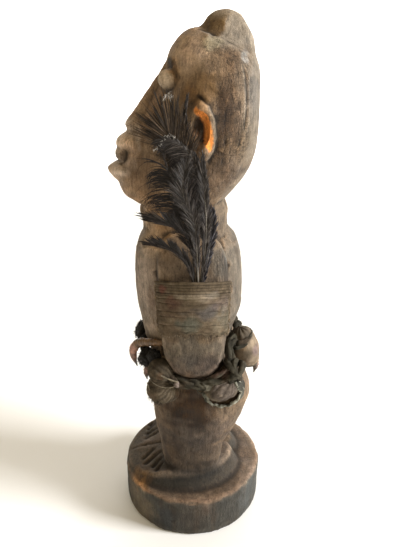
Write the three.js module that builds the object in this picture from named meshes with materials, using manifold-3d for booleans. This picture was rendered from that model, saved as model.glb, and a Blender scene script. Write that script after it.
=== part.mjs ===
// A carved wooden power figure with its cloth band, feathers, belt, bundles and claws.
// Millimetres, +Z up. The origin is the middle of the underside of the round base.
// The figure looks along -Y and its left side is +X.

import * as THREE from "three";
import { ConvexGeometry } from "three/addons/geometries/ConvexGeometry.js";
import { mergeVertices } from "three/addons/utils/BufferGeometryUtils.js";
import Module from "manifold-3d";

const wasm = await Module();
wasm.setup();

// Driving dimensions
const BASE_RADIUS = 62.5;
const BASE_HEIGHT = 39.8;
const BASE_RIM = 2.2;
const LOG_SIDES = 34;
const INSTEP_HEIGHT = 55;
const FOOT_SLOPE = 0.24;
const TOE_GROOVE = 2.8;
const BAND_BOTTOM = 203;
const BAND_TOP = 249;
const BAND_SLOPE = 22;
const BAND_THICKNESS = 2.2;
const ARM_OUTSIDE = 54;
const ROPE_RADIUS = 4.2;
const ROPE_STRANDS = 3;
const ROPE_TURNS = 10;
const FEATHER_THICKNESS = 0.5;
const FEATHER_STEP = 0.85;
const FEATHER_FIRST = 53.4;
const TOUCH_GAP = 0.3;

// Each station is a level cut through a carved form: its height z, its front and back edges along Y,
// half its width along X, the place of its middle along X, how square its outline is (2 is an
// ellipse) and how much wider it is behind than in front.
const TRUNK = [
  { z: 150, front: -34, back: 42, half: 38, square: 2.3 },
  { z: 168, front: -35.5, back: 37, half: 36, square: 2.3 },
  { z: 184, front: -39.7, back: 36, half: 34.5, square: 2.3 },
  { z: 205, front: -43, back: 41.8, half: 35.5, square: 2.3 },
  { z: 228, front: -44.6, back: 42.6, half: 37.5, square: 2.3 },
  { z: 248, front: -44, back: 41, half: 38.5, square: 2.3 },
  { z: 262, front: -41, back: 37.5, half: 36, square: 2.3 },
  { z: 270, front: -37, back: 31.5, half: 30, square: 2.2 },
  { z: 277, front: -36.4, back: 29.4, half: 27, square: 2.1 },
  { z: 286, front: -38.4, back: 30, half: 26.5, square: 2.1 },
  { z: 296, front: -36, back: 27, half: 27, square: 2.1 },
  { z: 306, front: -28, back: 22, half: 24, square: 2.1 },
];

const ARM = [
  { z: 156.8, front: -2, back: 12, half: 5, centre: 37.5, square: 2.2 },
  { z: 158.6, front: -8, back: 17.5, half: 8.5, centre: 37.5, square: 2.4 },
  { z: 163, front: -13.6, back: 22, half: 11, centre: 37.5, square: 2.6 },
  { z: 170, front: -18, back: 25.4, half: 12.3, centre: 37.6, square: 2.7 },
  { z: 182, front: -20.8, back: 27.8, half: 13.2, centre: 38, square: 2.8 },
  { z: 202, front: -22.6, back: 28.8, half: 13.8, centre: 38.2, square: 2.8 },
  { z: 226, front: -23.2, back: 29.6, half: 14, centre: 38.4, square: 2.8 },
  { z: 248, front: -23.4, back: 29.6, half: 13.6, centre: 38.2, square: 2.8 },
  { z: 262, front: -23.8, back: 27.5, half: 13, centre: 36.5, square: 2.5 },
  { z: 270, front: -22, back: 24, half: 11, centre: 34, square: 2.3 },
  { z: 275, front: -17, back: 18, half: 8, centre: 31, square: 2.1 },
  { z: 277, front: -9, back: 9, half: 5, centre: 29, square: 2 },
];

const LEG = [
  { z: 46, front: -24, back: 24.5, half: 17, centre: 22.8, square: 2.3 },
  { z: 55, front: -24.6, back: 25.2, half: 18.8, centre: 22.8, square: 2.3 },
  { z: 66, front: -26, back: 26.6, half: 19.3, centre: 22.8, square: 2.3 },
  { z: 78, front: -27.4, back: 28.8, half: 20.2, centre: 22.8, square: 2.3 },
  { z: 88, front: -28.8, back: 33.4, half: 21.4, centre: 22.8, square: 2.2 },
  { z: 98, front: -30.6, back: 39.2, half: 22.8, centre: 22.8, square: 2.2 },
  { z: 110, front: -31.6, back: 44, half: 23.8, centre: 22.7, square: 2.2 },
  { z: 122, front: -32, back: 47.8, half: 24.4, centre: 22.4, square: 2.2 },
  { z: 134, front: -32.6, back: 50.2, half: 24.4, centre: 22, square: 2.2 },
  { z: 148, front: -33.4, back: 46.5, half: 23.4, centre: 21.4, square: 2.2 },
  { z: 162, front: -33.4, back: 40, half: 21.6, centre: 20.3, square: 2.2 },
  { z: 176, front: -31, back: 34, half: 18, centre: 18, square: 2.2 },
];

const HEAD = [
  { z: 293, front: -34, back: 24, half: 23, square: 2.1, egg: 0 },
  { z: 297, front: -45, back: 28, half: 26.5, square: 2.1, egg: 0.08 },
  { z: 303, front: -51.5, back: 33, half: 29, square: 2.1, egg: 0.14 },
  { z: 311, front: -54, back: 39.5, half: 31.5, square: 2.1, egg: 0.2 },
  { z: 320, front: -53, back: 45, half: 33.5, square: 2.1, egg: 0.25 },
  { z: 330, front: -49, back: 49, half: 35, square: 2.1, egg: 0.28 },
  { z: 341, front: -45, back: 51, half: 36.5, square: 2.1, egg: 0.3 },
  { z: 352, front: -38, back: 51.8, half: 37.5, square: 2.1, egg: 0.3 },
  { z: 364, front: -31, back: 52, half: 38, square: 2.1, egg: 0.28 },
  { z: 376, front: -23.5, back: 52, half: 37.5, square: 2.1, egg: 0.24 },
  { z: 387, front: -17.5, back: 51.6, half: 36.5, square: 2.1, egg: 0.2 },
  { z: 395, front: -15, back: 50, half: 35, square: 2.1, egg: 0.15 },
  { z: 402, front: -13.8, back: 46.5, half: 32, square: 2.1, egg: 0.1 },
  { z: 409, front: -9.3, back: 39, half: 26.5, square: 2.1, egg: 0.05 },
  { z: 415, front: -3.6, back: 29, half: 18, square: 2.1, egg: 0 },
  { z: 419, front: 3.5, back: 18, half: 7, square: 2, egg: 0 },
];

const NOSE = [
  { z: 348.5, front: -43, back: -26, half: 8.5, square: 2 },
  { z: 351, front: -46.4, back: -26, half: 10.2, square: 2 },
  { z: 355, front: -46, back: -24, half: 9.4, square: 2 },
  { z: 363, front: -39.7, back: -18, half: 7.4, square: 2 },
  { z: 376, front: -30.4, back: -10, half: 5.4, square: 2 },
  { z: 389, front: -20.9, back: -2, half: 4.2, square: 2 },
  { z: 400, front: -14, back: 4, half: 3.4, square: 2 },
];

const UPPER_LIP = [
  { z: 334.5, front: -46, back: -20, half: 14, square: 2 },
  { z: 337, front: -52.2, back: -20, half: 16, square: 2 },
  { z: 339.5, front: -54.6, back: -20, half: 16.5, square: 2 },
  { z: 344, front: -51.2, back: -20, half: 15, square: 2 },
  { z: 349, front: -43, back: -20, half: 11, square: 2 },
];

const LOWER_LIP = [
  { z: 312, front: -56.2, back: -20, half: 15, square: 2 },
  { z: 316.5, front: -59.4, back: -20, half: 16.5, square: 2 },
  { z: 320, front: -61.6, back: -20, half: 17, square: 2 },
  { z: 323.5, front: -57.4, back: -20, half: 16, square: 2 },
  { z: 326.5, front: -51, back: -20, half: 14, square: 2 },
];

// The corners of the hewn crest of hair, on its left half.
const CREST_CORNERS = [
  [2, 8, 418],
  [2, 10.4, 421.4],
  [2, 13.6, 425.3],
  [2, 17.9, 428.5],
  [2, 23.5, 430.5],
  [2, 30, 430.4],
  [2, 36.9, 427.5],
  [2, 41.9, 420.6],
  [2, 46.5, 411.7],
  [2, 47.6, 399],
  [7, 17.8, 425.4],
  [10.5, 27.8, 426],
  [7, 29.7, 428.7],
  [6, 37.6, 425.8],
  [10, 43.4, 414.9],
  [11, 45.2, 400],
  [8.2, 12.6, 418.5],
  [14.4, 18.8, 415.7],
  [17.2, 24.9, 412.8],
  [16.8, 30.7, 410.8],
  [15.2, 36.4, 407],
  [10, 14, 400],
  [18, 25, 400],
  [17, 34, 400],
];

// The outline of the left foot seen from above, from the inner front round the outside: the place of
// its foot on the base, and the place of its upper edge.
const FOOT_OUTLINE = [
  { low: [0.9, -61.4], high: [0.9, -60.8] },
  { low: [14, -60], high: [13.6, -59] },
  { low: [27, -55], high: [25.6, -53] },
  { low: [37.5, -47], high: [34.6, -44] },
  { low: [44.6, -33], high: [40.6, -32] },
  { low: [47.6, -18], high: [42.4, -18] },
  { low: [48.8, -2], high: [42, -3] },
  { low: [46.4, 12.5], high: [39.6, 9.5] },
  { low: [40.6, 25], high: [34, 20] },
  { low: [31, 35.6], high: [26, 28.4] },
  { low: [20.6, 41.6], high: [17.6, 33.6] },
  { low: [9, 43], high: [8, 35.6] },
  { low: [0.9, 39], high: [0.9, 33] },
];

// The four cuts between the toes of the left foot, each from its outer front end to its inner end.
const TOE_CUTS = [
  { from: [19.4, -47.3], to: [4.9, -31.6] },
  { from: [26.6, -43.8], to: [11.5, -27.6] },
  { from: [33.2, -38.4], to: [19.4, -25.8] },
  { from: [38.4, -33], to: [26.6, -24.8] },
];

// The middle line of the belt, once round the body from the front through the left side and the back.
const BELT_LINE = [
  [0, -41.5, 174],
  [18, -38.2, 171],
  [30, -31.2, 166.5],
  [39.6, -22, 161],
  [47.6, -9.6, 156.8],
  [50.4, 4.5, 154.6],
  [50, 18.7, 155.8],
  [47, 29.5, 159.5],
  [43.5, 34.5, 166],
  [40.5, 32.6, 174],
  [34, 31.8, 180],
  [21, 36, 181],
  [5, 40.2, 178.5],
  [-14, 39.5, 176.5],
  [-30, 33.5, 172],
  [-42.5, 23.5, 164],
  [-48.5, 8, 156.5],
  [-48, -9, 157],
  [-37.5, -28, 165.5],
  [-18, -39.3, 172],
];

// Each feather is a bend of its shaft through [y, z] points, with its greatest half width. They lie
// one behind the other on slightly leaning sheets, from the arm outwards.
const FEATHERS = [
  { shaft: [[11, 240], [15.5, 264], [20.5, 287], [20.5, 309]], half: 7.5 },
  { shaft: [[5, 240], [5.6, 287], [3, 332], [1, 378]], half: 5.5 },
  { shaft: [[6.4, 240], [4.6, 302], [-3, 345], [-17, 381]], half: 11 },
  { shaft: [[4.2, 240], [2, 305], [-10, 340], [-34, 357]], half: 12 },
  { shaft: [[8.4, 240], [12.4, 284], [11.6, 316], [7, 347]], half: 6 },
  { shaft: [[5.2, 240], [1, 292], [-12, 316], [-34, 328]], half: 10.5 },
  { shaft: [[3.6, 240], [-1.5, 277], [-14, 290], [-33, 298]], half: 8.5 },
  { shaft: [[9.4, 240], [4.5, 280], [-1, 312], [-6, 336]], half: 6.5 },
  { shaft: [[2.4, 240], [-4, 264], [-16, 272], [-31, 275.5]], half: 6.5 },
];

// Form helpers

// The value of one key at place t along a list of stations, on a smooth curve through them.
function along(stations, key, t) {
  const last = stations.length - 1;
  const i = Math.min(Math.floor(t), last - 1);
  const value = (n) => stations[Math.max(0, Math.min(last, n))][key] ?? 0;
  const [a, b, c, d] = [value(i - 1), value(i), value(i + 1), value(i + 2)];
  const f = t - i;
  const bend = 2 * a - 5 * b + 4 * c - d;
  const twist = 3 * b - 3 * c + d - a;
  return b + 0.5 * f * (c - a + f * (bend + f * twist));
}

// A closed surface: a unit sphere whose points are put where place(u, v) says.
function closedSurface(around, rows, place) {
  const shape = new THREE.SphereGeometry(1, around, rows);
  const { position, uv } = shape.attributes;
  for (let i = 0; i < position.count; i += 1) {
    const spot = place(uv.getX(i), 1 - uv.getY(i));
    position.setXYZ(i, spot[0], spot[1], spot[2]);
  }
  return shape;
}

// A closed ring: a torus whose points are put where place(u, v) says, u along it and v round it.
function closedRing(sides, steps, place) {
  const shape = new THREE.TorusGeometry(2, 1, sides, steps);
  const { position, uv } = shape.attributes;
  for (let i = 0; i < position.count; i += 1) {
    const spot = place(uv.getX(i), uv.getY(i));
    position.setXYZ(i, spot[0], spot[1], spot[2]);
  }
  return shape;
}

// A carved form through level stations, on the left (side 1) or mirrored to the right (side -1).
function carved(stations, around, rows, side = 1, grow = 0) {
  return closedSurface(around, rows, (u, v) => {
    const row = Math.round(v * rows);
    const share = Math.max(0, Math.min(1, (row - 1) / (rows - 2)));
    const t = share * (stations.length - 1);
    const at = (key) => along(stations, key, t);
    const round = row === 0 || row === rows ? 0 : 1;
    const power = 2 / at("square");
    const across = Math.cos(u * 2 * Math.PI);
    const back = Math.sin(u * 2 * Math.PI);
    const wide = (at("half") + grow) * Math.sign(across) * Math.abs(across) ** power;
    const deep = ((at("back") - at("front")) / 2 + grow) * Math.sign(back) * Math.abs(back) ** power;
    return [
      side * (at("centre") + round * wide * (1 + at("egg") * back)),
      (at("front") + at("back")) / 2 + round * deep,
      at("z") + grow * (2 * share - 1),
    ];
  });
}

// A rounded lump with half sizes in X, Y and Z, tipped about X by tilt degrees.
function lump(centre, halves, { around = 10, rows = 7, tilt = 0, grow = 0 } = {}) {
  return new THREE.SphereGeometry(1, around, rows)
    .rotateX(Math.PI / 2)
    .scale(...halves.map((half) => half + grow))
    .rotateX((tilt * Math.PI) / 180)
    .translate(...centre);
}

// A horn-like form that follows a smooth line and tapers from one radius to the next.
function tapered(points, radii, { around = 7, rows = 9, grow = 0 } = {}) {
  const line = new THREE.CatmullRomCurve3(points.map((p) => new THREE.Vector3(...p)));
  const radius = radii.map((r) => ({ r }));
  return closedSurface(around, rows, (u, v) => {
    const row = Math.round(v * rows);
    const t = Math.max(0, Math.min(1, (row - 1) / (rows - 2)));
    const spot = line.getPoint(t);
    if (row === 0 || row === rows) return spot.toArray();
    const ahead = line.getTangent(t);
    const side = new THREE.Vector3(1, 0, 0).cross(ahead).normalize();
    const third = ahead.clone().cross(side);
    const r = along(radius, "r", t * (radii.length - 1)) + grow;
    spot.addScaledVector(side, r * Math.cos(u * 2 * Math.PI));
    spot.addScaledVector(third, r * Math.sin(u * 2 * Math.PI));
    return spot.toArray();
  });
}

// A manifold solid from a closed three.js shape, turned the right way out.
function solid(shape) {
  shape.deleteAttribute("normal");
  shape.deleteAttribute("uv");
  const merged = mergeVertices(shape, 1e-3);
  const vertProperties = Float32Array.from(merged.attributes.position.array);
  const triVerts = Uint32Array.from(merged.index.array);
  const corner = (n) => new THREE.Vector3().fromArray(vertProperties, 3 * triVerts[n]);
  let volume = 0;
  for (let i = 0; i < triVerts.length; i += 3) {
    volume += corner(i).dot(corner(i + 1).cross(corner(i + 2)));
  }
  if (volume < 0) triVerts.reverse();
  return new wasm.Manifold(new wasm.Mesh({ numProp: 3, vertProperties, triVerts }));
}

// One solid from several shapes that overlap.
function joined(shapes) {
  return shapes.map(solid).reduce((whole, next) => whole.add(next));
}

// The largest body that a cut leaves, without its offcuts.
function mainBody(whole) {
  const bodies = whole.decompose();
  return bodies.reduce((best, next) => (next.volume() > best.volume() ? next : best));
}

// The named mesh of a solid.
function piece(name, body, colour, roughness) {
  const { vertProperties, triVerts, numProp } = mainBody(body).getMesh();
  const shape = new THREE.BufferGeometry();
  const position = new Float32Array((vertProperties.length / numProp) * 3);
  for (let i = 0; i < position.length / 3; i += 1) {
    for (let k = 0; k < 3; k += 1) position[3 * i + k] = vertProperties[numProp * i + k];
  }
  shape.setAttribute("position", new THREE.BufferAttribute(position, 3));
  shape.setIndex(new THREE.BufferAttribute(Uint32Array.from(triVerts), 1));
  const material = new THREE.MeshStandardMaterial({ color: colour, roughness, metalness: 0 });
  const mesh = new THREE.Mesh(shape, material);
  mesh.name = name;
  return mesh;
}

// The wooden body

// The round base, as turned from the log, with a worn upper edge.
function baseShape(grow = 0) {
  const r = BASE_RADIUS + grow;
  const top = BASE_HEIGHT + grow;
  const profile = [
    [0, -grow],
    [r, -grow],
    [r, top - BASE_RIM],
    [r - BASE_RIM / 2, top - BASE_RIM / 4],
    [r - BASE_RIM, top],
    [0, top],
  ];
  const points = profile.map(([x, y]) => new THREE.Vector2(x, y));
  return new THREE.LatheGeometry(points, LOG_SIDES).rotateX(Math.PI / 2);
}

// The height of the top of a foot: level round the leg and sloping down to the front rim.
function footTop(x, y) {
  const forward = Math.max(0, -y - 22);
  const outward = Math.max(0, Math.hypot(x, y) - 50);
  return INSTEP_HEIGHT - FOOT_SLOPE * forward - 0.25 * outward;
}

// A foot: a slab that stands in the base, with walls that lean in and a top that slopes to the front.
function footShape(side) {
  const line = (edge) => new THREE.CatmullRomCurve3(
    FOOT_OUTLINE.map((place) => new THREE.Vector3(...place[edge], 0)),
    true,
    "centripetal",
  );
  const [low, high] = [line("low"), line("high")];
  const middle = new THREE.Vector3(24, -8, 0);
  const rings = [
    { share: 0, rise: 0, level: 0 },
    { share: 1, rise: 0, level: 0 },
    { share: 1, rise: 0, level: 0.24 },
    { share: 1, rise: 0.85, level: 0.92 },
    { share: 0.96, rise: 1, level: 1 },
    { share: 0.6, rise: 1, level: 1 },
    { share: 0, rise: 1, level: 1 },
  ];
  const foot = BASE_HEIGHT - 4;
  return closedSurface(24, rings.length - 1, (u, v) => {
    const ring = rings[Math.round(v * (rings.length - 1))];
    const turn = ((u % 1) + 1) % 1;
    const edge = low.getPoint(turn).lerp(high.getPoint(turn), ring.rise);
    const { x, y } = middle.clone().lerp(edge, ring.share);
    return [side * x, y, foot + ring.level * (footTop(x, y) - foot)];
  });
}

// A four-sided cut between two toes.
function toeCut({ from, to }, side) {
  const [a, b] = [from, to].map(([x, y]) => new THREE.Vector3(side * x, y, footTop(x, y) + 0.3));
  const cut = new THREE.CylinderGeometry(TOE_GROOVE * 0.55, TOE_GROOVE, a.distanceTo(b), 4, 1);
  const turn = new THREE.Quaternion().setFromUnitVectors(
    new THREE.Vector3(0, 1, 0),
    b.clone().sub(a).normalize(),
  );
  return cut.applyQuaternion(turn).translate(...a.add(b).multiplyScalar(0.5).toArray());
}

// The legs, hips, trunk and arms, which the cloth, belt and bundles lie against.
function bodyShapes(grow = 0) {
  return [
    carved(TRUNK, 18, 12, 1, grow),
    ...[1, -1].flatMap((side) => [
      carved(LEG, 14, 11, side, grow),
      carved(ARM, 14, 13, side, grow),
    ]),
  ];
}

// The crest: the smallest convex form round its corners on both sides.
function crestShape() {
  const corners = CREST_CORNERS.flatMap(([x, y, z]) => [[x, y, z], [-x, y, z]]);
  return new ConvexGeometry(corners.map((corner) => new THREE.Vector3(...corner)));
}

function carvedFigure() {
  const wood = [
    baseShape(),
    footShape(1),
    footShape(-1),
    ...bodyShapes(),
    carved(HEAD, 20, 17),
    crestShape(),
    carved(NOSE, 10, 9),
    carved(UPPER_LIP, 12, 7),
    carved(LOWER_LIP, 12, 7),
    ...[1, -1].map((side) => lump([side * 37, 11.5, 355.5], [10.5, 11.5, 21.5], { tilt: -6 })),
  ];
  const cuts = [
    lump([0, -53, 330.6], [18, 11.5, 6.2]),
    ...[1, -1].flatMap((side) => [
      lump([side * 46.5, 9.8, 355], [9, 7, 15], { tilt: -6 }),
      lump([side * 16, -20, 395], [11, 8.5, 9.5], { tilt: 35 }),
      ...TOE_CUTS.map((cut) => toeCut(cut, side)),
    ]),
  ];
  const inside = [
    lump([0, -42.5, 329.5], [9.5, 9.5, 5]),
    ...[1, -1].map((side) => lump([side * 16.5, -13.2, 388.2], [9, 7.5, 7.6])),
  ];
  return joined(wood).subtract(joined(cuts)).add(joined(inside));
}

// Cloth, feathers, belt, bundles and claws

// The space between two heights on the outside of the arm, sloping down towards the body.
function slopingBlock(low, high) {
  const slope = (-BAND_SLOPE * Math.PI) / 180;
  const block = new THREE.BoxGeometry(200, 200, (high - low) * Math.cos(slope));
  return block.rotateY(slope).translate(ARM_OUTSIDE, 0, (low + high) / 2);
}

// One feather: a thin blade along its shaft, pointed at the tip and bare near the root.
function featherShape({ shaft, half }, index, grow = 0) {
  const line = new THREE.CatmullRomCurve3(shaft.map(([y, z]) => new THREE.Vector3(0, y, z)));
  const rows = 9;
  const sheet = FEATHER_FIRST + FEATHER_STEP * index;
  return closedSurface(4, rows, (u, v) => {
    const row = Math.round(v * rows);
    const t = Math.max(0, Math.min(1, (row - 1) / (rows - 2)));
    const spot = line.getPoint(t);
    const ahead = line.getTangent(t);
    const round = row === 0 || row === rows ? 0 : 1;
    const vane = Math.sin(Math.PI * Math.max(0, (t - 0.12) / 0.88) ** 0.8) ** 0.7;
    const wide = round * (0.8 + (half - 0.8) * Math.max(0, vane) + grow);
    const thick = round * (FEATHER_THICKNESS / 2 + grow);
    const across = Math.cos(u * 2 * Math.PI);
    const out = Math.sin(u * 2 * Math.PI);
    const y = spot.y - ahead.z * wide * across;
    const z = spot.z + ahead.y * wide * across;
    const lean = 0.055 * Math.max(0, z - 262);
    return [sheet - lean + thick * out, y, z];
  });
}

// The armband: cloth wrapped over the outside of the arm, with a fold that holds the feathers.
function armbandBody(woodSkin) {
  const sleeve = solid(carved(ARM, 14, 13, 1, BAND_THICKNESS));
  const fold = solid(lump([52.5, 7, 243], [10.4, 21, 36]));
  const quills = joined(FEATHERS.map((feather, i) => featherShape(feather, i, TOUCH_GAP)));
  return sleeve
    .add(fold)
    .intersect(solid(slopingBlock(BAND_BOTTOM, BAND_TOP)))
    .subtract(woodSkin)
    .subtract(quills);
}

// The belt: a rope of twisted strips whose outline bulges once for each strand as it turns.
function beltShape(grow = 0) {
  const points = BELT_LINE.map((p) => new THREE.Vector3(...p));
  const line = new THREE.CatmullRomCurve3(points, true, "centripetal");
  return closedRing(6, 38, (u, v) => {
    const spot = line.getPoint(u % 1);
    const ahead = line.getTangent(u % 1);
    const side = new THREE.Vector3(0, 0, 1).cross(ahead).normalize();
    const up = ahead.clone().cross(side);
    const angle = v * 2 * Math.PI;
    const twist = ROPE_STRANDS * angle + ROPE_TURNS * u * 2 * Math.PI;
    const r = ROPE_RADIUS * (1 + 0.13 * Math.cos(twist)) + grow;
    spot.addScaledVector(side, r * Math.cos(angle));
    spot.addScaledVector(up, r * Math.sin(angle));
    return spot.toArray();
  });
}

// The belt with the knot that closes it behind the left arm.
function beltBody(grow = 0) {
  const knot = lump([43.5, 35, 165.5], [6, 6.2, 7.5], { around: 8, rows: 6, tilt: 20, grow });
  return joined([beltShape(grow), knot]);
}

// The bundles and claws on the belt, in the order in which they were tied on.
const TRIMMINGS = [
  {
    name: "bundle_back",
    colour: 0x6b5a4e,
    shapes: (grow) => [lump([15, 46.3, 169], [13.5, 11.8, 19.5], { tilt: 14, grow })],
  },
  {
    name: "claw_back",
    colour: 0x3a302b,
    shapes: (grow) => [tapered(
      [[15, 52, 161], [15, 55, 154.5], [15, 55.6, 148.5], [15, 54.3, 142.8]],
      [3.4, 3.3, 2.3, 0.5],
      { grow },
    )],
  },
  {
    name: "bundle_front_left",
    colour: 0x5b5648,
    shapes: (grow) => [
      lump([40, -23.6, 162], [11.6, 11.4, 11.4], { tilt: -10, grow }),
      lump([41.6, -22.4, 145], [11.6, 14.2, 13.4], { tilt: 8, grow }),
    ],
  },
  {
    name: "pouch_left",
    colour: 0x5c5156,
    shapes: (grow) => [lump([44.5, 25, 151], [10.5, 14.5, 10.4], { tilt: 16, grow })],
  },
  {
    name: "pouch_wrapper",
    colour: 0x5f6458,
    shapes: (grow) => [lump([41.2, 26.5, 146.5], [12.8, 17, 16], { tilt: 10, grow })],
  },
  {
    name: "claw_front",
    colour: 0x7a5236,
    shapes: (grow) => [tapered(
      [
        [33.5, -20, 184],
        [28.5, -31, 181.5],
        [21, -42.5, 176.5],
        [17, -48, 168],
        [16, -48.4, 159],
        [15, -46, 149.5],
      ],
      [2.6, 3, 3.4, 3.6, 2.8, 0.5],
      { rows: 12, grow },
    )],
  },
  {
    name: "tuft_front",
    colour: 0x1d1a18,
    shapes: (grow) => [
      lump([14, -39, 157], [9, 7, 6.5], { around: 7, rows: 5, grow }),
      lump([24, -36.5, 164], [8, 7, 7], { around: 7, rows: 5, grow }),
      lump([33.5, -29.6, 171.5], [6.4, 6.6, 6.4], { around: 7, rows: 5, grow }),
    ],
  },
  {
    name: "claw_small",
    colour: 0x4a3b30,
    shapes: (grow) => [tapered(
      [[14, -34, 150], [12, -37.5, 145], [11, -39, 139], [11, -38.5, 132.5]],
      [3, 3, 2.2, 0.5],
      { grow },
    )],
  },
  {
    name: "tuft_right",
    colour: 0x1a1816,
    shapes: (grow) => [
      lump([-8, -43, 172.5], [10.5, 6.4, 8.5], { around: 7, rows: 5, tilt: -20, grow }),
      lump([-11, -41, 163.5], [6.5, 5, 4.5], { around: 7, rows: 5, grow }),
    ],
  },
];

// The model

const figure = new THREE.Group();
const woodSkin = joined(bodyShapes(TOUCH_GAP));

figure.add(piece("carved_figure", carvedFigure(), 0x6e5d4d, 0.75));
figure.add(piece("cloth_armband", armbandBody(woodSkin), 0x5d5246, 0.95));
FEATHERS.forEach((feather, i) => {
  figure.add(piece(`feather_${i + 1}`, solid(featherShape(feather, i)), 0x1c181c, 0.5));
});

figure.add(piece("belt_rope", beltBody().subtract(woodSkin), 0x5c5a4c, 0.95));
let taken = woodSkin.add(beltBody(TOUCH_GAP));
for (const { name, colour, shapes } of TRIMMINGS) {
  figure.add(piece(name, joined(shapes(0)).subtract(taken), colour, 0.9));
  taken = taken.add(joined(shapes(TOUCH_GAP)));
}

export default figure;
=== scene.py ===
"""Looks of a carved wooden power figure: wood, cloth band, feathers, belt, bundles, claws and tufts.

Shapes are worked out in millimetres in the frame's own axes: the origin is the middle of the base's
underside, +Z is up, the figure looks along -Y and its left side is +X.
"""

import itertools
import math

import bpy
import numpy as np
from bpy.props import FloatProperty, FloatVectorProperty, IntProperty, PointerProperty
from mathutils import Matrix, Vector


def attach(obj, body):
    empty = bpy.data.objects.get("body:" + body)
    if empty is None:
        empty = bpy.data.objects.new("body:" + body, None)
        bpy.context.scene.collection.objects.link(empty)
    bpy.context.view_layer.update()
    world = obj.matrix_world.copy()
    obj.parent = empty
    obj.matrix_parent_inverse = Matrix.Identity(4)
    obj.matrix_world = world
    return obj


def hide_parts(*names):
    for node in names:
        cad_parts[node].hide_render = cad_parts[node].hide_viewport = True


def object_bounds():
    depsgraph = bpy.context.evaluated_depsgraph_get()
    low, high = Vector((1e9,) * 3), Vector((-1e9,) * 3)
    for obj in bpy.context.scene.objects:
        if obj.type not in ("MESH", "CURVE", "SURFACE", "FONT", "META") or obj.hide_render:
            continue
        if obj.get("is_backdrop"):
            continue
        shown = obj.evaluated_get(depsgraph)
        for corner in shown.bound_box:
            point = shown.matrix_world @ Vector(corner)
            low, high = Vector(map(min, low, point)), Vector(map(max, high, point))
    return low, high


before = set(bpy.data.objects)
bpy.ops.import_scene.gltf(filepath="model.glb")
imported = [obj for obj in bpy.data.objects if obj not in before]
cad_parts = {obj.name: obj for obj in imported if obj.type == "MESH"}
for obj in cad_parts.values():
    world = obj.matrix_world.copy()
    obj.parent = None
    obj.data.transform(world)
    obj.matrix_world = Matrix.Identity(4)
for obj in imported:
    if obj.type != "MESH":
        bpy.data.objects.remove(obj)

bl_info = {
    "name": "Power figure",
    "version": (1, 0, 0),
    "blender": (4, 5, 0),
    "location": "3D View > Sidebar > Figure",
    "description": "Builds a carved power figure with its band, feathers, belt and bundles",
    "category": "Object",
}

MM = 0.001
PHOTO_HEIGHT_PX = 547
FOCAL_PX = 600
CAMERA_PLACE = (0.448, 0.0123, 0.443)
CAMERA_TILT_DOWN = 25.4
SENSOR_MM = 36

# Level cuts through the carved forms: height, front edge, back edge, half width, place of the
# middle along X, squareness (2 is an ellipse) and how much wider it is behind than in front.
TRUNK = [
    (150, -34, 42, 38, 0, 2.3, 0), (168, -35.5, 37, 36, 0, 2.3, 0), (184, -39.7, 36, 34.5, 0, 2.3, 0),
    (205, -43, 41.8, 35.5, 0, 2.3, 0), (228, -44.6, 42.6, 37.5, 0, 2.3, 0),
    (248, -44, 41, 38.5, 0, 2.3, 0), (262, -41, 37.5, 36, 0, 2.3, 0), (270, -37, 31.5, 30, 0, 2.2, 0),
    (277, -36.4, 29.4, 27, 0, 2.1, 0), (286, -38.4, 30, 26.5, 0, 2.1, 0),
    (296, -36, 27, 27, 0, 2.1, 0), (306, -28, 22, 24, 0, 2.1, 0),
]
ARM = [
    (156.8, -2, 12, 5, 37.5, 2.2, 0), (158.6, -8, 17.5, 8.5, 37.5, 2.4, 0),
    (163, -13.6, 22, 11, 37.5, 2.6, 0), (170, -18, 25.4, 12.3, 37.6, 2.7, 0),
    (182, -20.8, 27.8, 13.2, 38, 2.8, 0), (202, -22.6, 28.8, 13.8, 38.2, 2.8, 0),
    (226, -23.2, 29.6, 14, 38.4, 2.8, 0), (248, -23.4, 29.6, 13.6, 38.2, 2.8, 0),
    (262, -23.8, 27.5, 13, 36.5, 2.5, 0), (270, -22, 24, 11, 34, 2.3, 0),
    (275, -17, 18, 8, 31, 2.1, 0), (277, -9, 9, 5, 29, 2, 0),
]
LEG = [
    (46, -24, 24.5, 17, 22.8, 2.3, 0), (55, -24.6, 25.2, 18.8, 22.8, 2.3, 0),
    (66, -26, 26.6, 19.3, 22.8, 2.3, 0), (78, -27.4, 28.8, 20.2, 22.8, 2.3, 0),
    (88, -28.8, 33.4, 21.4, 22.8, 2.2, 0), (98, -30.6, 39.2, 22.8, 22.8, 2.2, 0),
    (110, -31.6, 44, 23.8, 22.7, 2.2, 0), (122, -32, 47.8, 24.4, 22.4, 2.2, 0),
    (134, -32.6, 50.2, 24.4, 22, 2.2, 0), (148, -33.4, 46.5, 23.4, 21.4, 2.2, 0),
    (162, -33.4, 40, 21.6, 20.3, 2.2, 0), (176, -31, 34, 18, 18, 2.2, 0),
]
HEAD = [
    (293, -34, 24, 23, 0, 2.1, 0), (297, -45, 28, 26.5, 0, 2.1, 0.08),
    (303, -51.5, 33, 29, 0, 2.1, 0.14), (311, -54, 39.5, 31.5, 0, 2.1, 0.2),
    (320, -53, 45, 33.5, 0, 2.1, 0.25), (330, -49, 49, 35, 0, 2.1, 0.28),
    (341, -45, 51, 36.5, 0, 2.1, 0.3), (352, -38, 51.8, 37.5, 0, 2.1, 0.3),
    (364, -31, 52, 38, 0, 2.1, 0.28), (376, -23.5, 52, 37.5, 0, 2.1, 0.24),
    (387, -17.5, 51.6, 36.5, 0, 2.1, 0.2), (395, -15, 50, 35, 0, 2.1, 0.15),
    (402, -13.8, 46.5, 32, 0, 2.1, 0.1), (409, -9.3, 39, 26.5, 0, 2.1, 0.05),
    (415, -3.6, 29, 18, 0, 2.1, 0), (419, 3.5, 18, 7, 0, 2, 0),
]
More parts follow.
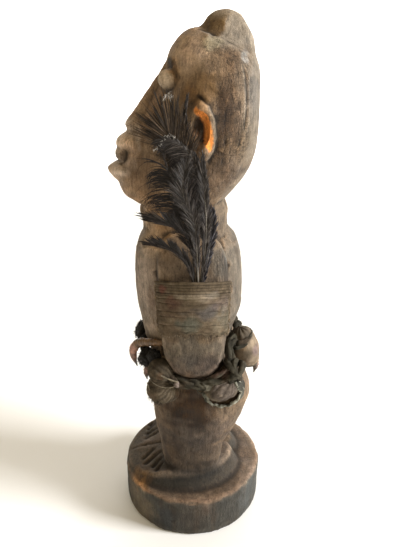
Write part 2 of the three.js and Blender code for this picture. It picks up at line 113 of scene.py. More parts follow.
NOSE = [
    (348.5, -43, -26, 8.5, 0, 2, 0), (351, -46.4, -26, 10.2, 0, 2, 0), (355, -46, -24, 9.4, 0, 2, 0),
    (363, -39.7, -18, 7.4, 0, 2, 0), (376, -30.4, -10, 5.4, 0, 2, 0), (389, -20.9, -2, 4.2, 0, 2, 0),
    (400, -14, 4, 3.4, 0, 2, 0),
]
UPPER_LIP = [
    (334.5, -46, -20, 14, 0, 2, 0), (337, -52.2, -20, 16, 0, 2, 0), (339.5, -54.6, -20, 16.5, 0, 2, 0),
    (344, -51.2, -20, 15, 0, 2, 0), (349, -43, -20, 11, 0, 2, 0),
]
LOWER_LIP = [
    (312, -56.2, -20, 15, 0, 2, 0), (316.5, -59.4, -20, 16.5, 0, 2, 0), (320, -61.6, -20, 17, 0, 2, 0),
    (323.5, -57.4, -20, 16, 0, 2, 0), (326.5, -51, -20, 14, 0, 2, 0),
]

BASE_HEIGHT = 39.8
INSTEP_HEIGHT = 55
# The outline of the left foot from the inner front round the outside: its foot and its upper edge.
FOOT_OUTLINE = [
    ((0.9, -61.4), (0.9, -60.8)), ((14, -60), (13.6, -59)), ((27, -55), (25.6, -53)),
    ((37.5, -47), (34.6, -44)), ((44.6, -33), (40.6, -32)), ((47.6, -18), (42.4, -18)),
    ((48.8, -2), (42, -3)), ((46.4, 12.5), (39.6, 9.5)), ((40.6, 25), (34, 20)),
    ((31, 35.6), (26, 28.4)), ((20.6, 41.6), (17.6, 33.6)), ((9, 43), (8, 35.6)),
    ((0.9, 39), (0.9, 33)),
]
# The cuts between the toes, each from its front end to its inner end, on the left and right foot.
TOE_CUTS = [
    ((18.8, -46.5), (4.7, -32.9)), ((26.2, -43.2), (11.5, -27.7)), ((32.6, -36.5), (19.4, -26)),
    ((37.9, -32.5), (27, -25)), ((-9.6, -47.1), (-16.6, -30.9)), ((-15.8, -46.3), (-23, -32.8)),
    ((-22.2, -45.5), (-30.6, -36.1)), ((-28.6, -43.9), (-37.2, -38.1)),
]
FOOT_CRACK = [(4, -60, 46), (2.5, -56.3, 49), (-1.4, -46.3, 51), (-7.3, -31.7, 53)]

# The corners of the hewn crest of hair, on its left half.
CREST_CORNERS = [
    (2, 8, 418), (2, 10.4, 421.4), (2, 13.6, 425.3), (2, 17.9, 428.5), (2, 23.5, 430.5),
    (2, 30, 430.4), (2, 36.9, 427.5), (2, 41.9, 420.6), (2, 46.5, 411.7), (2, 47.6, 399),
    (7, 17.8, 425.4), (10.5, 27.8, 426), (7, 29.7, 428.7), (6, 37.6, 425.8), (10, 43.4, 414.9),
    (11, 45.2, 400), (8.2, 12.6, 418.5), (14.4, 18.8, 415.7), (17.2, 24.9, 412.8), (16.8, 30.7, 410.8),
    (15.2, 36.4, 407), (10, 14, 400), (18, 25, 400), (17, 34, 400),
]

BAND_BOTTOM = 203
BAND_TOP = 249
BAND_SLOPE = math.tan(math.radians(22))
# The bell that the quills push out of the band: its height, and its middle and width in Y and in Z.
BAND_BELL = (9.3, (7, 19), (250, 26))
# The creases round the band: place up the band and seed. Each is painted as a dark line of painted
# shade with a painted highlight just above it; the first has no fold and is painted only.
BAND_CREASES = [
    (0.80, 140), (0.71, 143), (0.62, 145), (0.47, 147), (0.36, 149), (0.2, 148), (0.07, 151),
]
# The threads that lie across the band: places across it in hundredths and up it.
BAND_THREADS = [
    [(47, 0.62), (54, 0.67), (62, 0.76), (66, 0.86)], [(30, 0.58), (36, 0.55), (43, 0.56)],
    [(68, 0.42), (74, 0.46), (80, 0.45)], [(22, 0.3), (30, 0.26), (40, 0.28)],
]
ARM_OUTSIDE = 54

BELT_LINE = [
    (0, -41.5, 174), (18, -38.2, 171), (30, -31.2, 166.5), (39.6, -22, 161), (47.6, -9.6, 156.8),
    (50.4, 4.5, 154.6), (50, 18.7, 155.8), (47, 29.5, 159.5), (43.5, 34.5, 166), (40.5, 32.6, 174),
    (34, 31.8, 180), (21, 36, 181), (5, 40.2, 178.5), (-14, 39.5, 176.5), (-30, 33.5, 172),
    (-42.5, 23.5, 164), (-48.5, 8, 156.5), (-48, -9, 157), (-37.5, -28, 165.5), (-18, -39.3, 172),
]

FEATHER_FIRST = 53.4
FEATHER_STEP = 0.85
# Each feather: its shade, how pale its shaft is, how many barbs it has for the number set, how much
# they stick together and its shaft through (y, z) points. Then its front and its back barbs: rows of
# place along the shaft, length, angle to the shaft and curl, in millimetres and degrees.
FEATHERS = [
    (
        # The blue shade is a painted blue-grey sheen.
        "blue", 0.5, 0.9, 0.3, [(10, 240), (13.6, 262), (17, 284), (17.8, 302)],
        [(0.15, 5, 14, 4), (0.4, 12, 20, 6), (0.75, 13, 18, 8), (0.93, 9, 12, 6), (1, 5, 4, 2)],
        [(0.15, 3, 14, 4), (0.4, 9, 20, 8), (0.75, 10, 18, 6), (0.93, 7, 12, 4), (1, 5, 4, 2)],
    ),
    (
        "black", 0.12, 1.0, 0.3,
        [(9, 240), (13.5, 285), (13, 312), (8.9, 333), (2, 350), (-0.5, 366), (0.6, 378)],
        [(0.2, 7, 14, 4), (0.5, 11, 18, 6), (0.75, 9, 16, 6), (0.93, 7, 12, 4), (1, 6, 3, 0)],
        [(0.2, 7, 14, 4), (0.5, 8, 16, 4), (0.75, 7, 16, 6), (0.93, 5, 12, 4), (1, 6, 3, 0)],
    ),
    (
        "brown", 0.06, 1.7, 0.12, [(6.4, 240), (4.6, 302), (-3, 335), (-12, 357)],
        [
            (0.4, 10, 26, 8), (0.7, 15, 34, 10), (0.82, 20, 40, 6), (0.9, 26, 40, 4),
            (0.97, 29, 26, 2), (1, 28, 4, 0),
        ],
        [
            (0.4, 10, 26, 4), (0.7, 16, 30, 4), (0.82, 26, 36, -4), (0.9, 29, 36, -6),
            (0.97, 29, 24, -4), (1, 28, 4, 0),
        ],
    ),
    (
        "grey", 0.3, 0.85, 0.25, [(8, 240), (12.4, 290), (11, 318), (5.4, 338), (-3.5, 349), (-14, 353)],
        [(0.3, 8, 18, 8), (0.55, 15, 40, 40), (0.8, 17, 52, 46), (0.93, 16, 46, 36), (1, 11, 14, 24)],
        [(0.3, 6, 16, 4), (0.6, 8, 20, 6), (0.8, 6, 20, 10), (0.93, 6, 16, 14), (1, 9, 4, 10)],
    ),
    (
        "grey", 0.9, 1.0, 0.2, [(9.4, 240), (13, 284), (13, 303), (11.3, 322), (11, 338)],
        [(0.15, 7, 12, 2), (0.45, 14, 18, 4), (0.8, 14, 18, 4), (0.94, 11, 12, 2), (1, 8, 3, 0)],
        [(0.15, 6, 12, 2), (0.45, 11, 18, 4), (0.8, 10, 18, 4), (0.94, 8, 12, 2), (1, 8, 3, 0)],
    ),
    (
        "black", 0.08, 0.5, 0.5, [(5.2, 240), (2.4, 292), (-3.5, 316), (-12, 332)],
        [(0.35, 14, 36, 20), (0.6, 24, 46, 44), (0.8, 28, 46, 62), (0.94, 26, 34, 66), (1, 24, 10, 60)],
        [(0.35, 12, 24, 4), (0.6, 18, 30, 8), (0.8, 18, 28, 16), (0.94, 17, 20, 30), (1, 20, 4, 44)],
    ),
    (
        "black", 0.08, 0.55, 0.3, [(6.4, 240), (6.4, 270), (0, 287), (-12, 295), (-26, 300)],
        [(0.2, 13, 13, -4), (0.5, 20, 17, -8), (0.8, 19, 15, -10), (0.94, 14, 10, -8), (1, 10, 3, 0)],
        [(0.2, 10, 12, 6), (0.5, 18, 17, 12), (0.8, 18, 15, 10), (0.94, 14, 9, 4), (1, 10, 3, 0)],
    ),
    (
        "grey", 0.7, 1.0, 0.25, [(7.6, 240), (6.6, 276), (4.4, 298), (-1.4, 312), (-2.8, 322), (-1, 334)],
        [(0.2, 9, 14, 4), (0.5, 16, 24, 8), (0.8, 16, 26, 12), (0.94, 13, 20, 12), (1, 12, 4, 8)],
        [(0.2, 7, 14, 2), (0.5, 12, 20, 4), (0.8, 14, 24, 4), (0.94, 12, 16, 4), (1, 12, 4, 4)],
    ),
    (
        "black", 0.05, 0.5, 0.3, [(4.4, 240), (2.4, 260), (-5, 272), (-16, 279), (-26, 281.5)],
        [(0.2, 10, 12, -4), (0.5, 15, 15, -6), (0.8, 13, 13, -6), (0.94, 10, 8, -4), (1, 8, 3, 0)],
        [(0.2, 9, 10, 4), (0.5, 15, 15, 6), (0.8, 14, 13, 4), (0.94, 11, 8, 0), (1, 8, 3, 0)],
    ),
]
# Fixed shades of feathers, stains and small parts. The blue shade paints a blue-grey sheen on the
# first feather; the crest's two shades paint shade and light on its facets; the ledge shade is a
# painted highlight.
SHADES = {
    "blue": (0.036, 0.034, 0.039), "black": (0.014, 0.0105, 0.0085), "brown": (0.027, 0.0175, 0.0100),
    "grey": (0.032, 0.027, 0.024), "down": (0.45, 0.42, 0.38), "crest_front": (0.102, 0.060, 0.022),
    "crest_behind": (0.215, 0.180, 0.138), "crest_top": (0.178, 0.140, 0.098),
    "chalk": (0.30, 0.30, 0.29), "straw": (0.33, 0.28, 0.18), "arm_rust": (0.20, 0.105, 0.045),
    "ledge": (0.205, 0.150, 0.105), "ear_hollow": (0.115, 0.062, 0.030),
    "ear_fleck": (0.170, 0.105, 0.062), "belt_rust": (0.11, 0.065, 0.050),
    "bundle_rust": (0.13, 0.075, 0.042), "cord": (0.20, 0.17, 0.12), "knob": (0.17, 0.135, 0.115),
    "pouch_tan": (0.20, 0.16, 0.10), "skin_mauve": (0.17, 0.12, 0.12), "skin_tan": (0.23, 0.15, 0.085),
    "skin_green": (0.030, 0.034, 0.026), "pink_horn": (0.30, 0.16, 0.115),
    "tuft_tan": (0.15, 0.10, 0.055), "tuft_red": (0.05, 0.02, 0.02),
}


# Sizes and colours that a user may change


class FigureSizes(bpy.types.PropertyGroup):
    """Fineness and depth of the modelled surfaces."""

    voxel: FloatProperty(
        name="Wood fineness", description="Size of the steps in which the wood is resolved",
        default=1.45 * MM, min=1.0 * MM, max=3.0 * MM, unit="LENGTH", precision=5,
    )
    chisel: FloatProperty(
        name="Chisel facets", description="Share of the full depth of the flat cuts left by the chisel",
        default=0.55, min=0, max=1, subtype="FACTOR",
    )
    barbs: IntProperty(
        name="Barbs", description="Number of barbs on each side of a feather", default=365, min=20, max=600,
    )
    fold: FloatProperty(
        name="Cloth fold depth", description="Height of the folds in the bundles",
        default=0.9 * MM, min=0, max=2 * MM, unit="LENGTH", precision=5,
    )


def colour(name, description, default):
    """A colour that a user may change."""
    return FloatVectorProperty(
        name=name, description=description, default=default, min=0, max=1, size=3, subtype="COLOR",
    )


class FigureColours(bpy.types.PropertyGroup):
    """Colours of the finishes."""

    wood: colour("Wood", "Handled wood of the body", (0.150, 0.104, 0.066))
    wood_tan: colour("Tan wood", "Lighter wood of the head and shoulders", (0.230, 0.150, 0.086))
    wood_grey: colour("Grey wood", "Dry, dusty wood of the crest and back", (0.205, 0.165, 0.122))
    # This colour is also laid as painted shade under the brow, round the rim of the eye and in the mouth.
    wood_dark: colour("Dark wood", "Soaked and smoked wood of the thighs", (0.050, 0.034, 0.020))
    # The slate colour is also laid, darker, on the walls of the feet as painted shade.
    wood_slate: colour("Slate wood", "Blackish grey wood of the base", (0.060, 0.052, 0.041))
    dust: colour("Red dust", "Reddish dust on the base and feet", (0.118, 0.076, 0.050))
    ochre: colour("Ochre", "Ochre and rust in the worn edge and sockets", (0.270, 0.135, 0.040))
    fresh: colour("Fresh break", "Bright raw wood on the rim of the ear", (0.850, 0.300, 0.065))
    # Besides dirt in the cuts, this colour is laid as painted shade in hollows, in the corner between foot
    # and base and in the creases of the band.
    dirt: colour("Dirt", "Dirt in the cuts", (0.016, 0.011, 0.007))
    eye: colour("Eye", "Pale disc of the eye", (0.335, 0.255, 0.175))
    band: colour("Band cloth", "Ground of the cloth round the arm", (0.128, 0.096, 0.062))
    quill: colour("Quill", "Pale shafts", (0.300, 0.270, 0.230))
    rope: colour("Rope cloth", "Grey-green cloth of the belt", (0.048, 0.043, 0.031))
    bundle: colour("Bundle cloth", "Olive-grey cloth of the bundles", (0.088, 0.069, 0.047))
    pouch: colour("Pouch cloth", "Purple-grey cloth of the pouch", (0.120, 0.096, 0.078))
    wrapper: colour("Torn cloth", "Grey-green cloth that cups the pouch", (0.180, 0.176, 0.142))
    skin: colour("Skin", "Dry skin of the back bundle", (0.190, 0.145, 0.100))
    horn: colour("Horn", "Dark horn of the claws", (0.040, 0.030, 0.024))
    talon: colour("Talon", "Dry ochre skin of the talon", (0.128, 0.070, 0.028))
    tuft: colour("Tuft", "Matted black hair", (0.008, 0.007, 0.006))
    floor: colour("Floor", "Pale floor and backdrop", (0.900, 0.895, 0.885))


def sizes():
    """The sizes in use."""
    return bpy.context.scene.figure_sizes


def tone(name):
    """One of the fixed shades, or of the colours in use, as an array."""
    if name in SHADES:
        return np.array(SHADES[name])
    return np.array(getattr(bpy.context.scene.figure_colours, name))


# Curves, noise and masks


def through(rows, places, closed=False):
    """Points on the smooth curve through the rows: each stretch is the cubic whose slope at a row
    is half the step between that row's two neighbours."""
    rows = np.asarray(rows, float)
    places = np.asarray(places, float)
    count = len(rows)
    start = np.floor(places).astype(int)
    if not closed:
        start = np.clip(start, 0, count - 2)
    f = (places - start)[:, None]
    near = [start + k for k in (-1, 0, 1, 2)]
    a, b, c, d = (rows[at % count if closed else np.clip(at, 0, count - 1)] for at in near)
    return b + 0.5 * f * (c - a + f * (2 * a - 5 * b + 4 * c - d + f * (3 * b - 3 * c + d - a)))


def evenly(rows, count, closed=False):
    """A given number of points at even distances along the smooth curve through the rows."""
    stretches = len(rows) if closed else len(rows) - 1
    fine = through(rows, np.linspace(0, stretches, 60 * stretches + 1), closed)
    run = np.concatenate([[0], np.cumsum(np.linalg.norm(np.diff(fine, axis=0), axis=1))])
    places = np.linspace(0, run[-1], count + 1)[:-1] if closed else np.linspace(0, run[-1], count)
    return np.stack([np.interp(places, run, fine[:, k]) for k in range(fine.shape[1])], 1)


def unit(vectors):
    """The same directions with length 1."""
    return vectors / np.maximum(np.linalg.norm(vectors, axis=-1, keepdims=True), 1e-9)


def headings(line, closed=False):
    """Unit directions along a line of points."""
    if closed:
        return unit(np.roll(line, -1, 0) - np.roll(line, 1, 0))
    return unit(np.gradient(line, axis=0))


def noise(points, size, seed):
    """Smooth noise from -1 to 1: random values at the corners of cubes of that size, eased between."""
    lattice = np.random.default_rng(seed).uniform(-1, 1, (32, 32, 32))
    spot = np.asarray(points, float) / size + 400
    low = np.floor(spot).astype(int)
    ease = spot - low
    ease = ease * ease * (3 - 2 * ease)
    total = np.zeros(spot.shape[:-1])
    for corner in np.ndindex(2, 2, 2):
        share = np.prod(np.where(corner, ease, 1 - ease), axis=-1)
        at = (low + corner) % 32
        total += share * lattice[at[..., 0], at[..., 1], at[..., 2]]
    return total


def rough(points, size, seed):
    """Noise with two finer layers, each half as wide and half as strong."""
    return sum(noise(points, size / 2**k, seed + k) / 2**k for k in range(3)) / 1.5


def ramp(values, low, high):
    """0 below low, 1 above high and an even slope between; low may be the greater of the two."""
    return np.clip((values - low) / (high - low), 0, 1)


def bell(gap, width):
    """1 where the gap is 0, falling away on both sides as a bell curve of that width."""
    return np.exp(-((gap / width) ** 2))


def mirrored(points):
    """The points of both sides laid over each other on the left."""
    return np.abs(points * (1, 0, 0)) + points * (0, 1, 1)


def grid_of(*parts):
    """Numbers and arrays as the coordinates of one grid of points."""
    return np.stack(np.broadcast_arrays(*parts), -1)


def patch(points, middle, halves, soft=0.6, uneven=0.3, seed=1):
    """1 inside an ellipsoid and 0 outside it, with a soft and uneven edge."""
    reach = np.linalg.norm((points - np.array(middle, float)) / np.array(halves, float), axis=-1)
    reach = reach + uneven * noise(points, 5, seed)
    return ramp(reach, 1 + soft / 2, 1 - soft / 2)


def beside(points, path):
    """Distance of each point from a line of straight stretches."""
    path = np.array(path, float)
    best = np.full(len(points), np.inf)
    for a, b in zip(path[:-1], path[1:]):
        reach = b - a
        t = np.clip((points - a) @ reach / (reach @ reach), 0, 1)
        best = np.minimum(best, np.linalg.norm(points - a - t[:, None] * reach, axis=1))
    return best


def mixed(tint, other, share):
    """Colours moved towards another colour by a share at each point."""
    return tint + np.asarray(share)[..., None] * (other - tint)


# Shapes: a tuple of points and a list of arrays of faces


def capsule(rings):
    """A closed skin over rings (rows, around, 3), with a pole at the middle of the two end rings."""
    rows, around, _ = rings.shape
    points = np.vstack([rings.reshape(-1, 3), rings[0].mean(0), rings[-1].mean(0)])
    here = np.arange(around)
    after = (here + 1) % around
    row = around * np.arange(rows - 1)[:, None]
    quads = np.stack([row + here, row + after, row + around + after, row + around + here], -1)
    last = around * (rows - 1)
    low = np.stack([after, here, np.full(around, rows * around)], 1)
    high = np.stack([last + here, last + after, np.full(around, rows * around + 1)], 1)
    return outward((points, [quads.reshape(-1, 4), np.vstack([low, high])]))


def hoop(rings):
    """A closed ring of rings (steps, around, 3) that joins its end to its start."""
    steps, around, _ = rings.shape
    here = np.arange(around)
    after = (here + 1) % around
    row = around * np.arange(steps)[:, None]
    following = around * ((np.arange(steps) + 1) % steps)[:, None]
    quads = np.stack([row + here, row + after, following + after, following + here], -1)
    return outward((rings.reshape(-1, 3), [quads.reshape(-1, 4)]))


def slab(top, thickness):
    """A thin closed sheet: a grid of points (rows, columns, 3) and the same grid moved inwards."""
    rows, columns, _ = top.shape
    across = np.gradient(top, axis=0)
    along = np.gradient(top, axis=1)
    inner = top - unit(np.cross(across, along)) * thickness
    points = np.vstack([top.reshape(-1, 3), inner.reshape(-1, 3)])
    index = np.arange(rows * columns).reshape(rows, columns)
    face = np.stack([index[:-1, :-1], index[1:, :-1], index[1:, 1:], index[:-1, 1:]], -1).reshape(-1, 4)
    back = face[:, ::-1] + rows * columns
    edge = np.concatenate([index[0], index[1:, -1], index[-1, -2::-1], index[-2:0:-1, 0]])
    nxt = np.roll(edge, -1)
    rim = np.stack([edge, nxt, nxt + rows * columns, edge + rows * columns], 1)
    return outward((points, [face, back, rim]))


def volume_of(shape):
    """Six times the volume that the faces enclose, below zero if they point inwards."""
    points, faces = shape
    total = 0.0
    for part in faces:
        for k in range(1, part.shape[1] - 1):
            a, b, c = points[part[:, 0]], points[part[:, k]], points[part[:, k + 1]]
            total += np.einsum("ij,ij->", a, np.cross(b, c))
    return total


def outward(shape):
    """The shape with its faces pointing outwards."""
    points, faces = shape
    if volume_of(shape) < 0:
        faces = [part[:, ::-1] for part in faces]
    return points, faces


def together(shapes):
    """Several shapes as one."""
    points, faces, start = [], [], 0
    for spots, parts in shapes:
        points.append(spots)
        faces += [part + start for part in parts]
        start += len(spots)
    return np.vstack(points), faces


def section(angle, square):
    """Points on a super-ellipse of half sizes 1: cosine and sine raised to 2 / square."""
    power = 2 / square
    across, deep = np.cos(angle), np.sin(angle)
    return np.sign(across) * np.abs(across) ** power, np.sign(deep) * np.abs(deep) ** power


def carved(stations, side=1, around=180, rows=160):
    """A carved form: super-ellipse sections on a smooth curve through the stations. Half depth is
    half the way from front to back, and the width is scaled by 1 + egg times the place in depth."""
    table = through(stations, np.linspace(0, len(stations) - 1, rows))
    z, front, back, half, centre, square, egg = (column[:, None] for column in table.T)
    angle = np.linspace(0, 2 * np.pi, around, endpoint=False)[None]
    across, deep = section(angle, square)
    x = side * (centre + half * across * (1 + egg * np.sin(angle)))
    y = (front + back) / 2 + (back - front) / 2 * deep
    return capsule(grid_of(x, y, z))


def ball(around, rows):
    """Angles of a grid over a ball: longitude and latitude, and the unit vectors there."""
    longitude = np.linspace(0, 2 * np.pi, around, endpoint=False)[None]
    latitude = np.linspace(-np.pi / 2, np.pi / 2, rows + 2)[1:-1, None]
    flat = np.cos(latitude)
    ways = grid_of(flat * np.cos(longitude), flat * np.sin(longitude), np.sin(latitude))
    return longitude, latitude, ways


def aimed(ways, pole):
    """Unit vectors turned so that +Z goes to the pole."""
    up = unit(np.array(pole, float))
    side = unit(np.cross(up, (0.3, 0.9, 0.2)))
    return ways @ np.stack([side, np.cross(up, side), up])


def tipped(points, middle, tilt):
    """Points turned about X by tilt degrees and moved to the middle."""
    c, s = math.cos(math.radians(tilt)), math.sin(math.radians(tilt))
    return points @ np.array([[1, 0, 0], [0, c, s], [0, -s, c]]) + np.array(middle, float)


def lump(middle, halves, tilt=0, around=48, rows=30):
    """An ellipsoid with half sizes in X, Y and Z, tipped about X."""
    _, _, spots = ball(around, rows)
    return capsule(tipped(spots * np.array(halves, float), middle, tilt))


def frames(line, closed=False, up=(1, 0, 0)):
    """Directions ahead, aside and across at each point of a line."""
    ahead = headings(line, closed)
    aside = unit(np.cross(np.array(up, float), ahead))
    return ahead, aside, np.cross(ahead, aside)


def tube(line, radii, around=10, flat=1.0, closed=False, up=(1, 0, 0), relief=0.0):
    """A profile carried along a line: an ellipse of the given radii, flat times as high as wide."""
    _, aside, across = frames(line, closed, up)
    angle = np.linspace(0, 2 * np.pi, around, endpoint=False)[None, :, None]
    r = np.broadcast_to(np.asarray(radii, float), (len(line),))[:, None, None]
    r = r + (relief[..., None] if isinstance(relief, np.ndarray) else relief)
    rings = line[:, None] + r * (np.cos(angle) * aside[:, None] + flat * np.sin(angle) * across[:, None])
    return hoop(rings) if closed else capsule(rings)


# Meshes and objects


def mesh_of(name, shape):
    """A Blender mesh, in metres, from a shape in millimetres."""
    points, faces = shape
    mesh = bpy.data.meshes.new(name)
    counts = np.concatenate([np.full(len(part), part.shape[1]) for part in faces])
    corners = np.concatenate([part.ravel() for part in faces])
    mesh.vertices.add(len(points))
    mesh.vertices.foreach_set("co", (points * MM).astype(np.float32).ravel())
    mesh.loops.add(len(corners))
    mesh.loops.foreach_set("vertex_index", corners.astype(np.int32))
    mesh.polygons.add(len(counts))
    starts = np.concatenate([[0], np.cumsum(counts)[:-1]])
    mesh.polygons.foreach_set("loop_start", starts.astype(np.int32))
    mesh.polygons.foreach_set("use_smooth", np.ones(len(counts), bool))
    mesh.update(calc_edges=True)
    mesh.validate()
    return mesh


def linked(name, mesh):
    """An object of that mesh at the origin, in the scene."""
    made = bpy.data.objects.new(name, mesh)
    bpy.context.scene.collection.objects.link(made)
    return made


def piece(name, shape, finish, slot, nodes, tint, **marks):
    """A finished piece: mesh, colours and marks at its points, material, body and hidden CAD nodes.
    The slot is not used.
    """
    mesh = mesh_of(name, shape)
    paint = mesh.attributes.new("tint", "FLOAT_COLOR", "POINT")
    shade = np.ones((len(mesh.vertices), 4))
    shade[:, :3] = np.clip(tint, 0, 1)
    paint.data.foreach_set("color", shade.astype(np.float32).ravel())
    for mark, values in marks.items():
        kind, key = ("FLOAT_VECTOR", "vector") if values.ndim == 2 else ("FLOAT", "value")
        mesh.attributes.new(mark, kind, "POINT").data.foreach_set(key, values.astype(np.float32).ravel())
    mesh.materials.append(finish)
    made = linked(name, mesh)
    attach(made, "root")
    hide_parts(*nodes)
    return made


def add_remesh(obj, voxel):
    """A step that joins what overlaps into one even skin."""
    step = obj.modifiers.new("join", "REMESH")
    step.mode = "VOXEL"
    step.voxel_size = voxel


def hewn(wood, cuts, inlays, voxel):
    """The wood less the cuts plus the inlays, as one even skin of points and faces."""
    block, tool, fill = (linked(name, mesh_of(name, shape)) for name, shape in
                         (("block", wood), ("cuts", cuts), ("inlays", inlays)))
    for obj in (block, tool, fill):
        add_remesh(obj, 0.8 * voxel)
    for other, operation in ((tool, "DIFFERENCE"), (fill, "UNION")):
        step = block.modifiers.new(operation, "BOOLEAN")
        step.operation = operation
        step.object = other
        step.solver = "MANIFOLD"
    add_remesh(block, voxel)
    skin = block.evaluated_get(bpy.context.evaluated_depsgraph_get()).to_mesh()
    points = np.zeros(3 * len(skin.vertices), np.float32)
    skin.vertices.foreach_get("co", points)
    quads = np.zeros(4 * len(skin.polygons), np.int32)
    skin.loops.foreach_get("vertex_index", quads)
    shape = points.reshape(-1, 3).astype(float) / MM, [quads.reshape(-1, 4)]
    block.to_mesh_clear()
    for obj in (block, tool, fill):
        mesh = obj.data
        bpy.data.objects.remove(obj)
        bpy.data.meshes.remove(mesh)
    return shape


def edges_of(quads):
    """Each edge of the quads in both directions."""
    one = np.concatenate([quads[:, k] for k in range(4)])
    two = np.concatenate([quads[:, (k + 1) % 4] for k in range(4)])
    return one, two


def evened(values, quads, turns, share=0.5):
    """Values at the points, each moved a share of the way to its neighbours' mean, several times."""
    one, two = edges_of(quads)
    count = np.maximum(np.bincount(one, minlength=len(values)), 1)
    for _ in range(turns):
        total = np.stack([np.bincount(one, values[two, k], len(values)) for k in range(values.shape[1])], 1)
        values = values + share * (total / count[:, None] - values)
    return values


def normals_of(points, quads):
    """Unit normals at the points: the sum of the cross products of the quads' diagonals."""
    a, b, c, d = (points[quads[:, k]] for k in range(4))
    face = np.cross(c - a, d - b)
    total = np.zeros_like(points)
    for k in range(4):
        for axis in range(3):
            total[:, axis] += np.bincount(quads[:, k], face[:, axis], len(points))
    return unit(total)


# Materials


class Finish:
    """A material under construction, from nodes on the Principled shader."""

    def __init__(self, name, roughness, specular):
        self.material = bpy.data.materials.new(name)
        self.material.use_nodes = True
        self.tree = self.material.node_tree
        self.inputs = self.tree.nodes["Principled BSDF"].inputs
        self.inputs["Roughness"].default_value = roughness
        self.inputs["Specular IOR Level"].default_value = specular
        self.place = self.node("TexCoord", {}, "Object")

    def put(self, value, socket):
        """Joins a node's output to an input, or sets the input."""
        if isinstance(value, bpy.types.NodeSocket):
            self.tree.links.new(value, socket)
        else:
            socket.default_value = value

    def node(self, kind, inputs, output=0, **settings):
        """One output of a new node with these inputs and settings."""
        made = self.tree.nodes.new("ShaderNode" + kind)
        for name, value in settings.items():
            setattr(made, name, value)
        for name, value in inputs.items():
            self.put(value, made.inputs[name])
        return made.outputs[output]

    def mark(self, name, output="Fac"):
        """What a piece holds at its points under a name."""
        return self.node("Attribute", {}, output, attribute_name=name)

    def scaled(self, scale):
        """The place on the object, stretched."""
        return self.node("Mapping", {"Vector": self.place, "Scale": scale})

    def grain(self, vector, scale, detail, roughness):
        """Noise between 0 and 1."""
        inputs = {"Vector": vector, "Scale": scale, "Detail": detail, "Roughness": roughness}
        return self.node("TexNoise", inputs, "Fac")

    def math(self, a, b, operation="ADD"):
        """The sum of two numbers, or another operation on them."""
        return self.node("Math", {0: a, 1: b}, operation=operation)

    def spread(self, value, low, high, to_low=0.0, to_high=1.0):
        """A number moved from one range to another and held within it."""
        ends = {"From Min": low, "From Max": high, "To Min": to_low, "To Max": to_high}
        return self.node("MapRange", {"Value": value, **ends})

    def times(self, shade, factor):
        """A colour times a number."""
        return self.node("VectorMath", {0: shade, "Scale": factor}, operation="SCALE")

    def varied(self, shade, *rows):
        """A colour times noises, each moved from 0.3 and 0.7 to two factors."""
        for value, low, high in rows:
            shade = self.times(shade, self.spread(value, 0.3, 0.7, low, high))
        return shade

    def done(self, shade, height=None, depth=0.3, roughness=None):
        """The material, with its colour, and bumps of a depth in millimetres where it has a height."""
        self.put(shade, self.inputs["Base Color"])
        if roughness is not None:
            self.put(roughness, self.inputs["Roughness"])
        if height is not None:
            bump = self.node("Bump", {"Strength": 1.0, "Distance": depth * MM, "Height": height})
            self.put(bump, self.inputs["Normal"])
        return self.material


def old_wood():
    """Dusty hand-carved wood: painted tints, soft long grain, stains, and where it is marked a fine
    crackle with pale flakes between dark lines."""
    f = Finish("old carved wood", roughness=0.72, specular=0.28)
    long_grain = f.grain(f.scaled((1, 1, 0.14)), 480, 5, 0.65)
    fine = f.grain(f.place, 950, 4, 0.7)
    blotch = f.grain(f.place, 110, 5, 0.65)
    shift = f.node("TexNoise", {"Vector": f.place, "Scale": 260}, "Color")
    bent = f.node("VectorMath", {0: shift, 1: (0.0022,) * 3, 2: f.place}, operation="MULTIPLY_ADD")
    bent = f.node("Mapping", {"Vector": bent, "Scale": (1, 1, 0.6)})
    net = f.node("TexVoronoi", {"Vector": bent, "Scale": 520}, "Distance", feature="DISTANCE_TO_EDGE")
    strokes = f.grain(f.scaled((1, 1, 0.2)), 760, 3, 0.6)
    rows = f.grain(f.scaled((0.3, 0.3, 1.5)), 520, 3, 0.6)
    flake = f.grain(f.scaled((1, 1, 0.45)), 420, 3, 0.6)
    split = f.math(f.spread(strokes, 0.34, 0.44, 1.0, 0.0), f.spread(rows, 0.36, 0.44, 0.8, 0.0), "MAXIMUM")
    split = f.math(split, f.spread(net, 0.01, 0.09, 0.55, 0.0), "MAXIMUM")
    crack = f.math(split, f.mark("crackle"), "MULTIPLY")
    pale = f.math(f.spread(flake, 0.56, 0.66), f.mark("crackle"), "MULTIPLY")
    shade = f.varied(f.mark("tint", "Color"), (long_grain, 0.78, 1.24), (blotch, 0.70, 1.32))
    shade = f.varied(shade, (fine, 0.76, 1.26))
    shade = f.times(shade, f.spread(strokes, 0.38, 0.46, 0.68, 1.0))
    shade = f.times(shade, f.spread(crack, 0.0, 1.0, 1.0, 0.48))
    shade = f.times(shade, f.spread(pale, 0.0, 1.0, 1.0, 1.75))
    height = f.math(f.math(f.math(long_grain, fine), blotch), crack, "SUBTRACT")
    return f.done(shade, height, 0.5, f.spread(blotch, 0.3, 0.7, 0.62, 0.85))


def woven_cloth(name, thread, stripes):
    """Worn cloth: painted tints with two crossed sets of fine threads, dirt and bump. The lay mark
    holds the place along and across the cloth in millimetres."""
    f = Finish(name, roughness=0.95, specular=0.15)
    waves = {"Vector": f.mark("lay", "Vector"), "Scale": 0.5 / thread, "Distortion": 0.6, "Detail": 2}
    sets = [f.node("TexWave", waves, "Fac", bands_direction=way) for way in ("X", "Y")]
    weave = f.math(*sets, "MAXIMUM")
    dirt = f.grain(f.place, 260, 5, 0.65)
    fine = f.grain(f.place, 1100, 2, 0.6)
    shade = f.times(f.mark("tint", "Color"), f.spread(weave, 0.0, 1.0, 1 - stripes, 1 + stripes / 2))
    return f.done(f.varied(shade, (dirt, 0.6, 1.4), (fine, 0.85, 1.15)), f.math(weave, dirt), 0.25)


